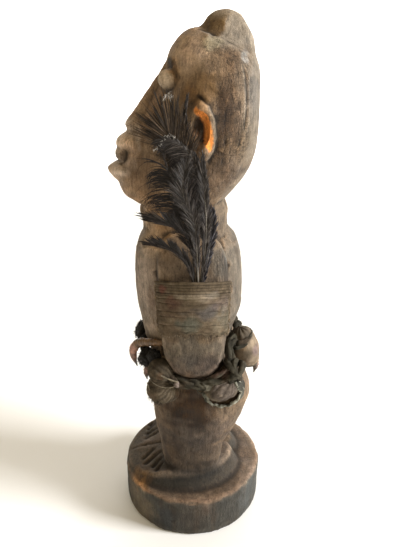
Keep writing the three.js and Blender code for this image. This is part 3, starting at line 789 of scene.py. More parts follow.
def plumage():
    """Black-brown barbs with a soft gloss, and pale shafts where the tint says so."""
    f = Finish("cock feather", roughness=0.5, specular=0.25)
    for name, value in (("Weight", 0.015), ("Roughness", 0.4), ("Tint", (0.65, 0.7, 0.9, 1))):
        f.inputs["Sheen " + name].default_value = value
    return f.done(f.varied(f.mark("tint", "Color"), (f.grain(f.place, 400, 3, 0.6), 0.6, 1.5)))


def dry_skin():
    """Skin drawn tight, with blotches and fine wrinkles."""
    f = Finish("dry skin", roughness=0.7, specular=0.2)
    blotch = f.grain(f.place, 150, 5, 0.65)
    wrinkle = f.grain(f.scaled((1, 1, 0.3)), 700, 3, 0.6)
    shade = f.varied(f.mark("tint", "Color"), (blotch, 0.65, 1.35), (wrinkle, 0.85, 1.15))
    return f.done(shade, wrinkle, 0.25)


def horn():
    """Satin horn and scaly skin of the claws."""
    f = Finish("claw horn", roughness=0.42, specular=0.45)
    streak = f.grain(f.place, 500, 4, 0.6)
    return f.done(f.varied(f.mark("tint", "Color"), (streak, 0.7, 1.3)), streak, 0.15)


def matted_hair():
    """Black hair stuck together with resin."""
    f = Finish("matted hair", roughness=0.65, specular=0.3)
    clot = f.grain(f.place, 500, 4, 0.7)
    return f.done(f.varied(f.mark("tint", "Color"), (clot, 0.5, 1.8)), clot, 0.4)


def pale_floor():
    """Plain pale floor with the faintest cloudiness."""
    f = Finish("pale floor", roughness=0.9, specular=0.1)
    return f.done(f.varied(tone("floor"), (f.grain(f.place, 2, 2, 0.5), 0.995, 1.005)))


# The carving


def foot_top(x, y):
    """Height of the top of a foot: level round the leg, sloping to the front and the rim."""
    forward = np.maximum(0, -y - 22)
    outward_reach = np.maximum(0, np.hypot(x, y) - 50)
    return INSTEP_HEIGHT - 0.24 * forward - 0.25 * outward_reach


def footprint(edge):
    """An outline of the foot: a smooth curve round its open side, closed by a straight inner side."""
    outer = evenly([place[edge] for place in FOOT_OUTLINE], 150)
    return np.vstack([outer, np.linspace(outer[-1], outer[0], 32)[1:-1]])


# The rings of a foot from below: how wide they are, how far they have moved from its lower to its upper
# outline, and how high they lie between its sole and its top.
FOOT_RINGS = [
    (0.5, 0, 0), (1, 0, 0), (1, 0, 0.24), (1, 0.4, 0.55), (1, 0.85, 0.9), (0.99, 1, 0.98), (0.96, 1, 1),
    (0.5, 1, 1),
]


def foot(side):
    """A foot: rings between its lower and its upper outline, with walls that lean in and a flat top."""
    low, high = footprint(0), footprint(1)
    middle = np.array([24, -8])
    sole = BASE_HEIGHT - 4
    rings = []
    for share, rise, level in FOOT_RINGS:
        flat = middle + share * (low + rise * (high - low) - middle)
        height = sole + level * (foot_top(flat[:, 0], flat[:, 1]) - sole)
        rings.append(np.column_stack([side * flat[:, 0], flat[:, 1], height]))
    return capsule(np.stack(rings))


BASE_PROFILE = [
    (30, 0), (61.6, 0), (62.5, 0.8), (62.5, 20), (62.4, 37.4), (61.9, 38.8), (60.6, 39.8), (30, 39.8),
]


def base_disc():
    """The round base: a profile of radius and height carried round the axis."""
    angle = np.linspace(0, 2 * np.pi, 240, endpoint=False)
    return capsule(np.stack([grid_of(r * np.cos(angle), r * np.sin(angle), z) for r, z in BASE_PROFILE]))


def crest():
    """The hewn crest: the planes through three corners that have every corner on one side bound it,
    and from a point inside, each direction reaches to the nearest of them."""
    corners = np.array(CREST_CORNERS, float)
    corners = np.vstack([corners, corners * (-1, 1, 1)])
    three = corners[np.array(list(itertools.combinations(range(len(corners)), 3)))]
    ways = np.cross(three[:, 1] - three[:, 0], three[:, 2] - three[:, 0])
    size = np.linalg.norm(ways, axis=1)
    three, ways = three[size > 0.5], ways[size > 0.5] / size[size > 0.5, None]
    reach = np.einsum("ij,ij->i", ways, three[:, 0])
    over = ways @ corners.T - reach[:, None]
    turn = np.where((over < 0.01).all(1), 1, np.where((over > -0.01).all(1), -1, 0))
    ways, reach = (ways * turn[:, None])[turn != 0], (reach * turn)[turn != 0]
    middle = np.array((0, 28, 410.0))
    _, _, spread = ball(180, 120)
    radius = np.min((reach - ways @ middle) / np.maximum(spread @ ways.T, 1e-6), axis=-1)
    return capsule(spread * radius[..., None] + middle)


def toe_cut(cut):
    """A tapered groove between two toes, along the top of the foot."""
    ends = [(x, y, foot_top(x, y) + 0.1) for x, y in cut]
    line = np.linspace(*np.array(ends, float), 12)
    return tube(line, np.linspace(2.5, 1.5, 12), 12, flat=1.7, up=(0, 0, 1))


EYE_MIDDLE = (16.5, -13.4, 386.6)
EYE_HALVES = (9, 7, 6.6)
CLEFT_LINE = [(0, -64, 50), (0, -50, 53), (0, -38, 56.5), (0, -26, 58)]
# The hollows of the ear, of the eye and at the corner of the mouth, on both sides: middle, half sizes
# and tilt. Then what is left standing in them: the disc of the eye and two knobs in the ear.
SIDE_HOLLOWS = [
    ((46.5, 8.2, 355.5), (9, 6, 14.5), -6), ((16, -20, 395), (11.5, 9, 10), 35),
    ((15.5, -46, 335.5), (4, 5.4, 6.4), 20),
]
SIDE_INLAYS = [
    (EYE_MIDDLE, EYE_HALVES), ((40.5, 5, 353), (4, 3.4, 4.5)), ((40.5, 9, 345), (3.5, 3.5, 4)),
]


def wood_blocks():
    """The forms that are hewn from the log, the cuts made in them and the forms left in the cuts."""
    wood = [
        base_disc(), foot(1), foot(-1), carved(TRUNK), carved(LEG), carved(LEG, -1), carved(ARM),
        carved(ARM, -1), carved(HEAD), carved(NOSE, around=60, rows=60),
        *(carved(lip, around=90, rows=40) for lip in (UPPER_LIP, LOWER_LIP)), crest(),
        *(lump((side * 37, 11.5, 355.5), (10.5, 11.5, 21.5), -6) for side in (1, -1)),
    ]
    cleft = evenly(np.array(CLEFT_LINE, float), 16)
    cuts = [
        lump((0, -53, 330.6), (18, 11.5, 6.2)),
        tube(cleft, np.linspace(0.8, 3.2, 16), 12, flat=1.6, up=(0, 0, 1)),
        tube(evenly(FOOT_CRACK, 24), 0.8, 10, flat=3, up=(0, 0, 1)),
        *(toe_cut(cut) for cut in TOE_CUTS),
        *(lump((side * x, y, z), *rest) for side in (1, -1) for (x, y, z), *rest in SIDE_HOLLOWS),
    ]
    inlays = [
        lump((0, -42.5, 329.5), (9.5, 9.5, 5)),
        lump((0, -49.5, 331.5), (12, 5.6, 5.6)),
        *(lump((side * x, y, z), halves) for (x, y, z), halves in SIDE_INLAYS for side in (1, -1)),
    ]
    return together(wood), together(cuts), together(inlays)


def chisel_cuts(points, ways, spacing, seed):
    """How far each point lies from the flat cut that passes through the nearest of many seed
    points: one seed is kept in each cube of the given spacing."""
    order = np.random.default_rng(seed).permutation(len(points))
    cube = np.floor(points[order] / spacing).astype(int)
    _, first = np.unique(cube, axis=0, return_index=True)
    seeds = order[first]
    gap = np.zeros(len(points))
    for start in range(0, len(points), 8000):
        run = slice(start, start + 8000)
        far = ((points[run, None] - points[None, seeds]) ** 2).sum(-1)
        far += 60 * (1 - ways[run] @ ways[seeds].T)
        near = seeds[np.argmin(far, axis=1)]
        gap[run] = np.einsum("ij,ij->i", points[near] - points[run], ways[near])
    return gap


EAR_BREAK = [(0, 5.5, 371), (0, 11.6, 366.8), (0, 13.9, 357), (0, 15, 348), (0, 15.6, 343.5)]
EAR_BREAK_WIDTH = [(343.5, 348, 357, 366.5, 371), (0.6, 2.8, 3.1, 2.3, 1.1)]
CREST_EDGE = [
    (9, 8.9, 417.6), (13, 13, 416.9), (16, 17.7, 414.9), (18, 23.7, 411.9), (19, 30.4, 409.2),
    (19, 37.8, 407), (16, 44.8, 404.8),
]
EAR_GROOVE = [(0, 8, 378), (0, 16, 374), (0, 20.6, 364.5), (0, 21.8, 352), (0, 20, 341), (0, 15, 334)]
JAW_LINE = [(10, -46, 297), (22, -33, 298.5), (28, -14, 303), (30, 4, 303)]
FACE_CRACKS = [
    JAW_LINE,
    [(14, -44.3, 329), (19, -41, 323), (20, -41.4, 312)],
    [(19, -41.9, 322.4), (25, -33.3, 320.3), (30, -23.4, 323.7), (31, -15.6, 320.6)],
    [(20, -35.6, 309), (26, -26.6, 305), (28, -14.8, 303)],
]
SCRATCHES = [
    [(51.2, 0.4, 173.6), (51.4, 7, 177.2), (51.4, 13.1, 181.1)],
    [(38, 30, 411), (30, 34, 402), (27, 44, 392)],
]
DRYING_CRACKS = [
    [(31, 39, 398), (32, 40.5, 384), (32.5, 41, 370), (33, 40, 356)],
    [(38, 26, 352), (38, 27.5, 340), (36, 26, 330)],
    [(18, 50, 392), (20, 51.5, 372), (19, 52, 352), (20, 50, 336)],
    [(32, 36, 380), (33, 37.5, 362), (33, 36, 345)],
    [(-20, 50, 388), (-22, 50, 366), (-21, 50, 350)],
    [(8, 43, 262), (9, 43.5, 240), (8, 42, 214)],
    [(-16, 41, 255), (-17, 41, 232), (-16, 40, 206)],
    [(14, -44, 255), (15, -44.5, 236), (14, -43, 214)],
    [(-58, -22, 38), (-58.5, -21, 18), (-58, -22, 2)],
]


def break_reach(points):
    """How far each point lies outside the fresh break on the rim of the left ear, seen from its side."""
    half = np.interp(points[:, 2], *EAR_BREAK_WIDTH)
    return beside(points * (0, 1, 1), EAR_BREAK) - half


def cracks(points):
    """For each drying crack, 1 along its wandering line and falling away beside it."""
    shaken = points + 0.9 * noise(points, 6, 51)[:, None]
    return [bell(beside(shaken, path), 0.9) for path in DRYING_CRACKS]


def ridges(points, height):
    """Fine ridges behind the left arm, from -1 to 1 within a patch of that half height."""
    wave = np.sin(3.2 * points[:, 1] + 2 * noise(points, 5, 63))
    return patch(points, (46, 24, 258), (12, 7, height), seed=61) * wave


def wood_relief(points, ways):
    """Height of the carver's marks above the plain forms, in millimetres: flat chisel cuts and soft
    unevenness, less of both on the head and feet, upright grain round the base and its chipped rim,
    cracks and grooves, the fresh break on the ear and the ridges behind the arm."""
    x, y, z = points.T
    away = np.hypot(x, y)
    low = ramp(z, 2, 5)
    base = ramp(z, 41, 39) * ramp(away, 58, 60.5)
    sharp = 1 - 0.92 * ramp(z, 64, 58) * (1 - base)
    cuts = np.clip(chisel_cuts(points, ways, 13, 5), -1.3, 0.9)
    height = sizes().chisel * cuts * low * (1 - 0.5 * ramp(z, 300, 312)) * sharp
    height += 0.35 * rough(points, 16, 11) * low * sharp
    rugged = patch(points, (0, 18, 318), (60, 14, 26), 0.8, 0.3, 13)
    height += 0.7 * rugged * rough(points * (1, 1, 0.45), 5, 15)
    fine = 0.07 * noise(points * (1, 1, 0.2), 2.6, 21) + 0.12 * noise(points, 3.4, 23)
    split = 0.4 * noise(points * (1, 1, 0.12), 9, 31) + 0.12 * noise(points * (1, 1, 0.15), 3, 33)
    height += fine * low * (1 - base) + base * split
    height -= 1.5 * bell(z - 39, 2.2) * ramp(away, 57, 60) * ramp(noise(points, 9, 41), 0.05, 0.7)
    height -= 0.9 * sum(cracks(points))
    height -= 0.3 * sum(bell(beside(points, path), 0.8) for path in SCRATCHES)
    height -= 1.6 * ramp(np.abs(x), 30, 34) * bell(beside(points * (0, 1, 1), EAR_GROOVE), 1.2)
    height -= 0.8 * bell(beside(points, JAW_LINE), 1.3)
    height -= 0.7 * bell(beside(mirrored(points), CREST_EDGE), 1.2)
    height -= 1.1 * ramp(break_reach(points), 0.4, -0.8) * ramp(x, 40, 43)
    return height + 0.35 * ridges(points, 11)


# Patches, on both sides alike, that make the wood lighter or darker or shift its hue: painted shade
# and light, such as the darker lower legs and feet and the dark thigh under the belt, and changes of
# tone. Each gives the middle, the half sizes and what is left of the red, green and blue.
SHADE_AND_TONE_PATCHES = [
    ((26, 1, 404), (16, 13, 11), (1.65, 1.75, 1.9)), ((26, 2, 405), (10, 9, 8), (1.08, 1.08, 1.15)),
    ((31, 25, 402), (15, 16, 10), (0.85, 0.85, 0.85)), ((36, 11, 384), (14, 10, 9), (1.0, 0.92, 0.75)),
    ((32, 3, 378), (12, 7, 7), (0.7, 0.62, 0.5)), ((39, 25, 372), (13, 4.5, 20), (0.42, 0.38, 0.36)),
    ((37, 33, 364), (12, 5, 22), (0.50, 0.47, 0.46)), ((39, 22, 346), (11, 6, 26), (0.62, 0.58, 0.52)),
    ((34, 20, 322), (18, 18, 17), (0.62, 0.62, 0.66)),
    ((36, 40, 344), (10, 7, 14), (0.75, 0.70, 0.62)), ((27, 45, 380), (12, 6, 14), (0.8, 0.85, 0.95)),
    ((21, -36, 322), (20, 15, 15), (0.86, 0.82, 0.8)),
    ((16, -24, 368), (14, 10, 16), (0.85, 0.76, 0.68)),
    ((4, -50, 338), (20, 14, 22), (2.25, 2.7, 3.6)), ((10, -54, 312), (18, 12, 9), (1.25, 1.3, 1.4)),
    ((22, -24, 300), (16, 16, 9), (1.15, 1.05, 0.95)),
    ((24, -24, 271), (14, 14, 12), (1.75, 1.7, 1.6)),
    ((28, -34, 236), (13, 14, 36), (1.40, 1.42, 1.55)),
    ((40, -25, 232), (6, 4.5, 36), (0.36, 0.33, 0.31)),
    ((44, 24, 258), (11, 9, 17), (0.66, 0.74, 0.84)), ((45, 31, 226), (6, 5, 36), (0.55, 0.55, 0.58)),
    ((52, 5, 186), (16, 30, 19), (0.62, 0.68, 0.72)), ((50, 7, 168), (16, 30, 13), (0.80, 0.82, 0.92)),
    ((46, 14, 176), (14, 8, 10), (0.85, 0.80, 0.80)),
    ((46, 0, 128), (20, 22, 22), (0.23, 0.16, 0.085)),
    ((44, 4, 104), (26, 34, 20), (0.56, 0.60, 0.70)), ((44, 2, 76), (26, 34, 24), (0.42, 0.43, 0.46)),
    ((44, 6, 58), (34, 46, 9), (0.58, 0.60, 0.62)), ((44, 0, 47), (30, 60, 7.5), (0.62, 0.60, 0.56)),
    ((44, -18, 84), (12, 9, 26), (0.80, 0.75, 0.70)), ((44, 26, 96), (14, 12, 20), (1.25, 1.22, 1.2)),
    ((39, -49, 16), (18, 18, 20), (2.5, 2.15, 1.7)), ((30, 56, 22), (26, 12, 26), (1.35, 1.5, 1.7)),
    ((61, 2, 22), (10, 18, 16), (1.1, 1.0, 0.95)), ((60, -22, 18), (10, 10, 12), (0.72, 0.80, 0.95)),
    ((43, 8, 372.5), (8, 5, 4.5), (1.4, 1.3, 1.2)),
]


# Patches on both sides alike: shade, strength of the shade, share, middle, half sizes, softness and
# unevenness of the edge, and seed. First the brow and the disc of the eye, then the mouth and neck.
# The two dark patches by the brow are painted shadow in the socket of the eye; the rest are stains.
EYE_STAINS_AND_SHADOW = [
    ("ochre", 1, 0.55, (20, -9, 391), (9, 5, 8), 0.7, 0.2, 103),
    # Painted shadow under the brow, in the socket of the eye, on this row and the next.
    ("wood_dark", 0.6, 0.95, (14, -14, 397.4), (8, 4.6, 3.8), 0.5, 0.15, 105),
    ("wood_dark", 1, 0.7, (12, -24, 388), (5, 4, 6), 0.6, 0.15, 106),
    ("eye", 1, 1, (17.6, -14, 386.4), (9.8, 6.6, 6.4), 0.2, 0.05, 107),
]
MOUTH_STAINS = [
    ("ochre", 1, 0.45, (14, -44, 338), (10, 7, 8), 0.8, 0.4, 111),
    ("ochre", 1, 0.25, (18, -28, 291), (14, 12, 7), 0.8, 0.4, 113),
]


class WoodPaint:
    """Colours at the points of the wood, laid over each other in turn."""

    def __init__(self, points, ways, recess):
        self.points, self.ways, self.recess = points, ways, recess
        self.level = mirrored(points)
        self.cloud = rough(points, 22, 71)
        self.mottle = rough(points, 7, 72)
        self.streak = noise(points * (1, 1, 0.16), 5, 73)
        x, _, z = self.level.T
        self.arm = ramp(x, 36, 42) * ramp(z, 150, 158) * ramp(z, 256, 246)
        self.tint = np.broadcast_to(tone("wood"), points.shape).copy()

    def lay(self, shade, share, strength=1):
        """Moves the colours towards a shade of that strength, by a share at each point."""
        self.tint = mixed(self.tint, tone(shade) * strength, share)

    def leave(self, left, share):
        """Leaves part of the red, green and blue, by a share at each point."""
        self.tint = mixed(self.tint, self.tint * left, share)

    def stains(self, rows):
        """Lays a soft patch for each row of a table."""
        for shade, strength, share, *place in rows:
            self.lay(shade, share * patch(self.level, *place), strength)

    def fields(self):
        """Tan head and shoulders, grey front and back, and the brown arms."""
        x, y, z = self.points.T
        head = ramp(z + 4 * self.cloud, 292, 300)
        body = ramp(z, 160, 185) * (1 - head)
        back = ramp(self.ways[:, 1], 0.25, 0.8)
        self.lay("wood_tan", 0.75 * head)
        self.lay("wood_grey", 0.8 * np.maximum(head, body) * back)
        self.lay("wood_grey", 0.6 * body * ramp(y, -18, -34))
        self.lay("wood_tan", 0.55 * ramp(z, 262, 274) * (1 - head))
        self.leave((0.72, 0.76, 0.80), 0.8 * np.maximum(head, body) * back)
        self.lay("wood_dark", 0.2 * ramp(z, 240, 258) * ramp(z, 282, 268) * ramp(np.abs(x), 34, 42))
        self.leave(0.72, 0.9 * body * back)
        self.lay("ochre", 0.30 * patch(self.points, (34, -20, 281), (14, 9, 6), seed=91))
        self.lay("wood", 0.8 * self.arm, (1, 1.04, 1.1))
        self.lay("arm_rust", 0.35 * self.arm * ramp(noise(self.points, 11, 92), 0.15, 0.6))

    def crest(self):
        """The crest, brown in front and pale behind by the way its facets face: painted shade on the
        facets that face forward and painted light on those that face back. Dirt along its foot and dust
        below it.
        """
        points, (y, z) = self.points, self.points[:, 1:].T
        crown = ramp(z, 404, 410) * ramp(y, 8, 13)
        # The brown and the pale follow the way each facet faces: painted shade in front, painted light
        # behind.
        facet = ramp(self.ways[:, 1] + 0.08 * self.mottle, -0.05, 0.12)
        self.lay("crest_front", 0.85 * crown * (1 - facet))
        self.lay("crest_behind", 0.85 * crown * facet)
        self.lay("crest_top", 0.7 * crown * ramp(z, 423, 428))
        shaken = self.level + 0.6 * noise(points, 4, 85)[:, None]
        self.lay("dirt", 0.7 * ramp(beside(shaken, CREST_EDGE), 1.5, 0.5), 1.5)
        pale = patch(points, (24, 39.5, 404), (8, 3.4, 5), 0.5, 0.5, 87)
        self.lay("chalk", 0.8 * pale * ramp(self.mottle, -0.5, 0.3))
        self.lay("straw", 0.6 * patch(points, (22, 18, 410), (9, 6, 4), 0.8, 0.6, 89))

    def base(self):
        """The base and feet: slate walls, darkened as painted shade where the feet face sideways, red dust
        on what faces up, a worn rim, painted shade in the corner between foot and base, a painted highlight
        along the upper edge of the feet, and rust and soot."""
        points, mottle, up = self.points, self.mottle, self.ways[:, 2]
        x, y, z = points.T
        away = np.hypot(x, y)
        base = ramp(z, 40.6, 39.0)
        rest = ramp(z, 60, 54) * (1 - base)
        self.lay("wood_slate", 0.8 * rest)
        dusty = ramp(up, 0.4, 0.8) * ramp(self.cloud + 0.8 * ramp(y, 0, 30), -0.5, 0.5)
        self.lay("dust", 0.55 * rest * dusty)
        foot_zone = ramp(z, 57.5, 56) * (1 - base) * ramp(away, 24, 30)
        # Painted shade: the walls of the feet are darker where they face sideways.
        self.lay("wood_slate", 0.9 * foot_zone * ramp(up, 0.7, 0.4), 0.6)
        side = base * ramp(up, 0.6, 0.3)
        self.lay("wood_slate", 0.95 * side, (0.58, 0.65, 0.70))
        for strength, start, end in ((1.45, -40, 0), (1, 0, -40)):
            self.lay("dust", 0.8 * base * ramp(up, 0.45, 0.8) * ramp(y + mottle * 6, start, end), strength)
        rim = bell(z - 38.6 + 1.4 * mottle, 1.6) * ramp(away, 58, 60)
        self.lay("dust", 0.65 * rim * ramp(noise(points, 8, 94), -0.5, 0.1), 1.25)
        flecks = ramp(noise(points * (1, 1, 0.4), 13, 96), 0, 0.5)
        self.lay("dust", 0.5 * side * ramp(x, 56, 60) * flecks, 0.8)
        self.lay("wood_dark", 0.45 * base * ramp(self.streak, 0.15, 0.6), 0.6)
        # Painted shade in the corner between foot and base.
        corner = ramp(z, 39, 40) * ramp(z, 43.5, 41.5) * ramp(away, 60, 57)
        self.lay("dirt", 0.8 * corner * ramp(self.recess, 0.0, 0.3), 1.4)
        # A painted highlight along the upper edge of the feet.
        upper_edge = [(*high, 0) for _, high in FOOT_OUTLINE[3:-1]]
        ledge = ramp(beside(self.level * (1, 1, 0), upper_edge) + 0.5 * mottle, 2.6, 1.2)
        self.lay("ledge", 0.75 * ledge * ramp(z, 47, 49.5) * ramp(z, 59, 57))
        rust = patch(points, (32, -47, 44), (14, 10, 9), 0.8, 0.5, 97)
        self.lay("ochre", 0.6 * rust * ramp(self.cloud, -0.4, 0.5))
        self.lay("wood_dark", 0.7 * rust * ramp(noise(points, 4, 99), 0.0, 0.5))
        self.lay("wood_dark", 0.9 * patch(points, (-8, 37, 55), (9, 6, 5), 0.6, 0.5, 101))

    def lay_shade_and_tone(self):
        """Lays the patches of painted shade and light and of tone."""
        for seed, (middle, halves, left) in enumerate(SHADE_AND_TONE_PATCHES, 200):
            self.leave(left, patch(self.level, middle, halves, 0.8, 0.35, seed))

    def face(self):
        """Brow, eye, ear, cracks and mouth, with painted shade under the brow, round the rim of the eye
        and in the mouth.
        """
        points, level = self.points, self.level
        self.stains(EYE_STAINS_AND_SHADOW)
        socket = np.linalg.norm((level - EYE_MIDDLE) / EYE_HALVES, axis=1)
        outline = ramp(socket, 1.06, 1.16) * ramp(socket, 1.5, 1.22)
        # Painted shade round the rim of the eye.
        self.lay("wood_dark", 0.75 * outline * ramp(noise(points, 4, 108), -0.9, -0.1), 0.7)
        hollow = patch(level, (42, 9.5, 353.5), (5.6, 6, 14), 0.4, 0.15, 109)
        self.lay("ear_hollow", 0.85 * hollow)
        self.lay("ear_fleck", 0.6 * hollow * ramp(self.mottle, 0.0, 0.5))
        groove = ramp(beside(points * (0, 1, 1), EAR_GROOVE), 2.0, 0.8) * ramp(level[:, 0], 30, 34)
        self.lay("dirt", 0.7 * groove * ramp(noise(points, 5, 110), -0.6, 0.2), 1.5)
        for crack in cracks(points):
            self.lay("dirt", 0.8 * crack)
        shaken = level + 1.6 * noise(points, 5, 53)[:, None]
        for path in FACE_CRACKS:
            self.lay("dirt", 0.6 * bell(beside(shaken, path), 0.75) * ramp(self.streak, -0.9, -0.2))
        self.stains(MOUTH_STAINS)
        # Painted shade in the opening of the mouth.
        self.lay("wood_dark", 0.85 * patch(points, (0, -48, 331), (15, 9, 5.4), 0.4, 0.1, 115))

    def age(self):
        """Unevenness, stains, painted shade in what is hollow, a painted highlight on the rounded edges
        and the fresh break.
        """
        points = self.points
        chalk = patch(self.level, (34, 26, 396), (16, 15, 12), 0.8, 0.4, 116) * noise(points, 2.6, 118)
        uneven = 0.14 * self.cloud + 0.22 * self.mottle + 0.10 * self.streak
        uneven += 0.35 * ridges(points, 12) + 0.35 * chalk + 0.30 * self.arm * noise(points, 4, 93)
        self.tint = self.tint * (1 + uneven)[:, None]
        stain = ramp(rough(points * (1, 1, 0.6), 15, 117), 0.22, 0.6) * ramp(points[:, 2], 60, 110)
        self.leave((0.55, 0.48, 0.42), 0.7 * stain)
        # Painted shade: darker in what is hollow.
        self.lay("dirt", 0.85 * ramp(self.recess, 0.12, 0.6))
        # Painted highlight: lighter on the rounded edges.
        self.leave(1.6, 0.7 * ramp(self.recess, -0.08, -0.40))
        grainy = (1 + 0.35 * noise(points * (1, 1, 0.15), 1.6, 119))[:, None]
        self.lay("fresh", ramp(break_reach(points), 0.5, 0.0) * ramp(points[:, 0], 38.5, 40.5), grainy)


def wood_tint(points, ways, recess):
    """Colours of the wood, from the broad fields to the fresh break."""
    paint = WoodPaint(points, ways, recess)
    for step in (paint.fields, paint.crest, paint.base, paint.lay_shade_and_tone, paint.face, paint.age):
        step()
    return paint.tint


def build_carving():
    """Hews, cuts and paints the carved figure."""
    points, (quads,) = hewn(*wood_blocks(), sizes().voxel)
    points = evened(points, quads, 2, 0.4)
    plain_ways = normals_of(evened(points, quads, 6), quads)
    points = points + plain_ways * wood_relief(points, plain_ways)[:, None]
    points[:, 2] = np.maximum(points[:, 2], 0)
    points[points[:, 2] < 0.7, 2] *= 0.2
    ways = normals_of(points, quads)
    recess = np.einsum("ij,ij->i", evened(points, quads, 14) - points, ways)
    level = mirrored(points)
    crackle = np.maximum.reduce([
        patch(level, (34, 31, 362), (16, 13, 44), 0.8, 0.4, 121),
        0.8 * patch(level, (30, 24, 400), (18, 16, 14), 0.8, 0.4, 123),
        0.25 * ramp(points[:, 2], 300, 200),
    ])
    tint = wood_tint(points, ways, recess)
    shape = points, [quads]
    piece("figure_wood", shape, old_wood(), "carved_wood", ["carved_figure"], tint, crackle=crackle)


# Cloth band


def arm_section(angle, z, grow):
    """Points on the outside of the arm at an angle round it and a height, grown outwards."""
    stations = np.array(ARM, float)
    place = np.interp(z.ravel(), stations[:, 0], np.arange(len(stations)))
    table = through(stations, place).reshape(*z.shape, 7)
    _, front, back, half, centre, square, _ = np.moveaxis(table, -1, 0)
    across, deep = section(angle, square)
    y = (front + back) / 2 + ((back - front) / 2 + grow) * deep
    return grid_of(centre + (half + grow) * across, y, z)


def band_surface(rows, columns):
    """The band: the arm's section grown by the cloth, round the outside of the arm, and pushed out
    over the quills by a bell. Its height rises with its reach, so that its edges slope."""
    angle = np.pi * np.linspace(-0.43, 0.43, columns)[None]
    share = np.linspace(0, 1, rows)[:, None]
    level = BAND_BOTTOM + (BAND_TOP - BAND_BOTTOM) * share + 0 * angle
    along = grid_of(9 * angle, 0, 0)
    ragged = (1.5 * noise(along, 1.1, 131) + 0.8 * noise(along, 0.4, 133)) * ramp(share, 0.12, 0)
    reach, (middle_y, width_y), (middle_z, width_z) = BAND_BELL
    z = level
    for _ in range(5):
        skin = arm_section(angle + 0 * z, z, 1.3)
        skin[..., 0] += reach * bell(skin[..., 1] - middle_y, width_y) * bell(z - middle_z, width_z)
        z = level + BAND_SLOPE * (skin[..., 0] - ARM_OUTSIDE) + ragged
    skin[..., 2] = z
    return skin, share + 0 * angle


def band_stripes(v):
    """Five and a half stripes near the upper edge, from -1 to 1, by place up the band."""
    return np.sin(2 * np.pi * 5.5 * (v - 0.72) / 0.28) * ramp(v, 0.70, 0.74)


def band_creases(spot, v):
    """For each crease round the band: how far above it each point lies, as a share of the band's
    height, how plain it is there, and its seed."""
    for height, seed in BAND_CREASES:
        yield v - height + 0.014 * noise(spot, 9, seed), ramp(noise(spot, 11, seed + 1), -0.5, 0.2), seed


# Patches of faded colour: place across and up the band, half sizes as shares of it, colour, share, seed.
BAND_FIELDS = [
    (0.20, 0.88, 0.09, 0.06, (0.15, 0.050, 0.040), 0.6, 153),
    (0.33, 0.62, 0.07, 0.10, (0.14, 0.060, 0.045), 0.5, 155),
    (0.30, 0.45, 0.30, 0.16, (0.120, 0.078, 0.050), 0.5, 157),
    (0.52, 0.75, 0.12, 0.07, (0.26, 0.21, 0.15), 0.7, 159),
    (0.46, 0.22, 0.07, 0.14, (0.075, 0.105, 0.090), 0.6, 161),
    (0.62, 0.45, 0.12, 0.12, (0.080, 0.085, 0.095), 0.5, 163),
    (0.76, 0.62, 0.13, 0.16, (0.145, 0.110, 0.105), 0.5, 165),
    (0.86, 0.3, 0.16, 0.2, (0.165, 0.150, 0.110), 0.5, 167),
    (0.30, 0.16, 0.30, 0.12, (0.135, 0.095, 0.060), 0.5, 169),
    (0.66, 0.80, 0.06, 0.06, (0.22, 0.19, 0.15), 0.5, 166),
]


def band_tint(spot, v):
    """Faded bands and dull red, green, blue and pale patches, by place across and up the band, with
    painted shade in each crease and a painted highlight just above it.
    """
    cloud = 0.35 * rough(spot, 12, 141) + 0.25 * noise(spot * (0.3, 1, 1), 1.6, 142)
    tint = tone("band") * (1 + cloud)[..., None]
    tint = tint * ((1 + 0.28 * band_stripes(v)) * (1 - 0.35 * ramp(v, 0.70, 0.76)))[..., None]
    for x, y, wide, high, shade, share, seed in BAND_FIELDS:
        field = patch(spot, (80 * x, 46 * y, 0), (80 * wide, 46 * high, 1), 0.9, 0.6, seed)
        tint = mixed(tint, np.array(shade), share * field)
    for gap, plain, seed in band_creases(spot, v):
        # Painted shade in the crease and a painted highlight just above it.
        tint = mixed(tint, tone("dirt"), 0.9 * bell(gap, 0.011) * plain)
        light = bell(gap - 0.022, 0.010) * ramp(noise(spot, 8, seed + 2), -0.2, 0.4)
        tint = mixed(tint, tint * 1.7, 0.6 * light)
    return tint


def thread(points, radius, around):
    """A thin round thread through a few points, as a shape."""
    return tube(evenly(points, max(8, 5 * len(points))), radius, around)


def band_threads(skin, out):
    """Loose threads of the band: a thick one and many short ones along each upright edge, a few that
    lie across the cloth, and a fringe below."""
    rows, columns, _ = skin.shape
    rng = np.random.default_rng(181)
    threads = []
    for edge, way in ((0, -1), (columns - 1, 1)):
        steps = np.linspace(2, rows - 3, 46).astype(int)
        line = skin[steps, edge] + out[steps, edge] * 0.5
        spread = [rng.uniform(low, high, len(steps)) for low, high in ((0, 1.2), (-0.8, 0.8), (-0.6, 0.6))]
        threads.append(thread(line + np.column_stack(spread), 0.5, 7))
        for k in np.linspace(2, rows - 3, 60).astype(int):
            start = skin[k, edge] + out[k, edge] * 0.4
            reach = (rng.uniform(-1, 2), 0.5 * way + rng.uniform(-0.8, 0.8), rng.uniform(-4.5, 1.5))
            middle = start + 0.5 * np.array(reach) + rng.uniform(-0.8, 0.8, 3)
            threads.append(thread([start, middle, start + np.array(reach)], 0.2, 5))
    for arc in BAND_THREADS:
        places = [skin[int((rows - 1) * y), int((columns - 1) * x / 100)] + (0.5, 0, 0) for x, y in arc]
        threads.append(thread(places, 0.32, 7))
    for k in np.linspace(6, columns - 7, 90).astype(int):
        start = skin[0, k] + out[0, k] * 0.2
        tip = start + out[0, k] * rng.uniform(-0.3, 0.4)
        tip = tip + np.array([0, rng.uniform(-1, 1), -rng.uniform(0.6, 3.4)])
        threads.append(thread([start, (start + tip) / 2 + rng.uniform(-0.3, 0.3, 3), tip], 0.16, 5))
    return together(threads)


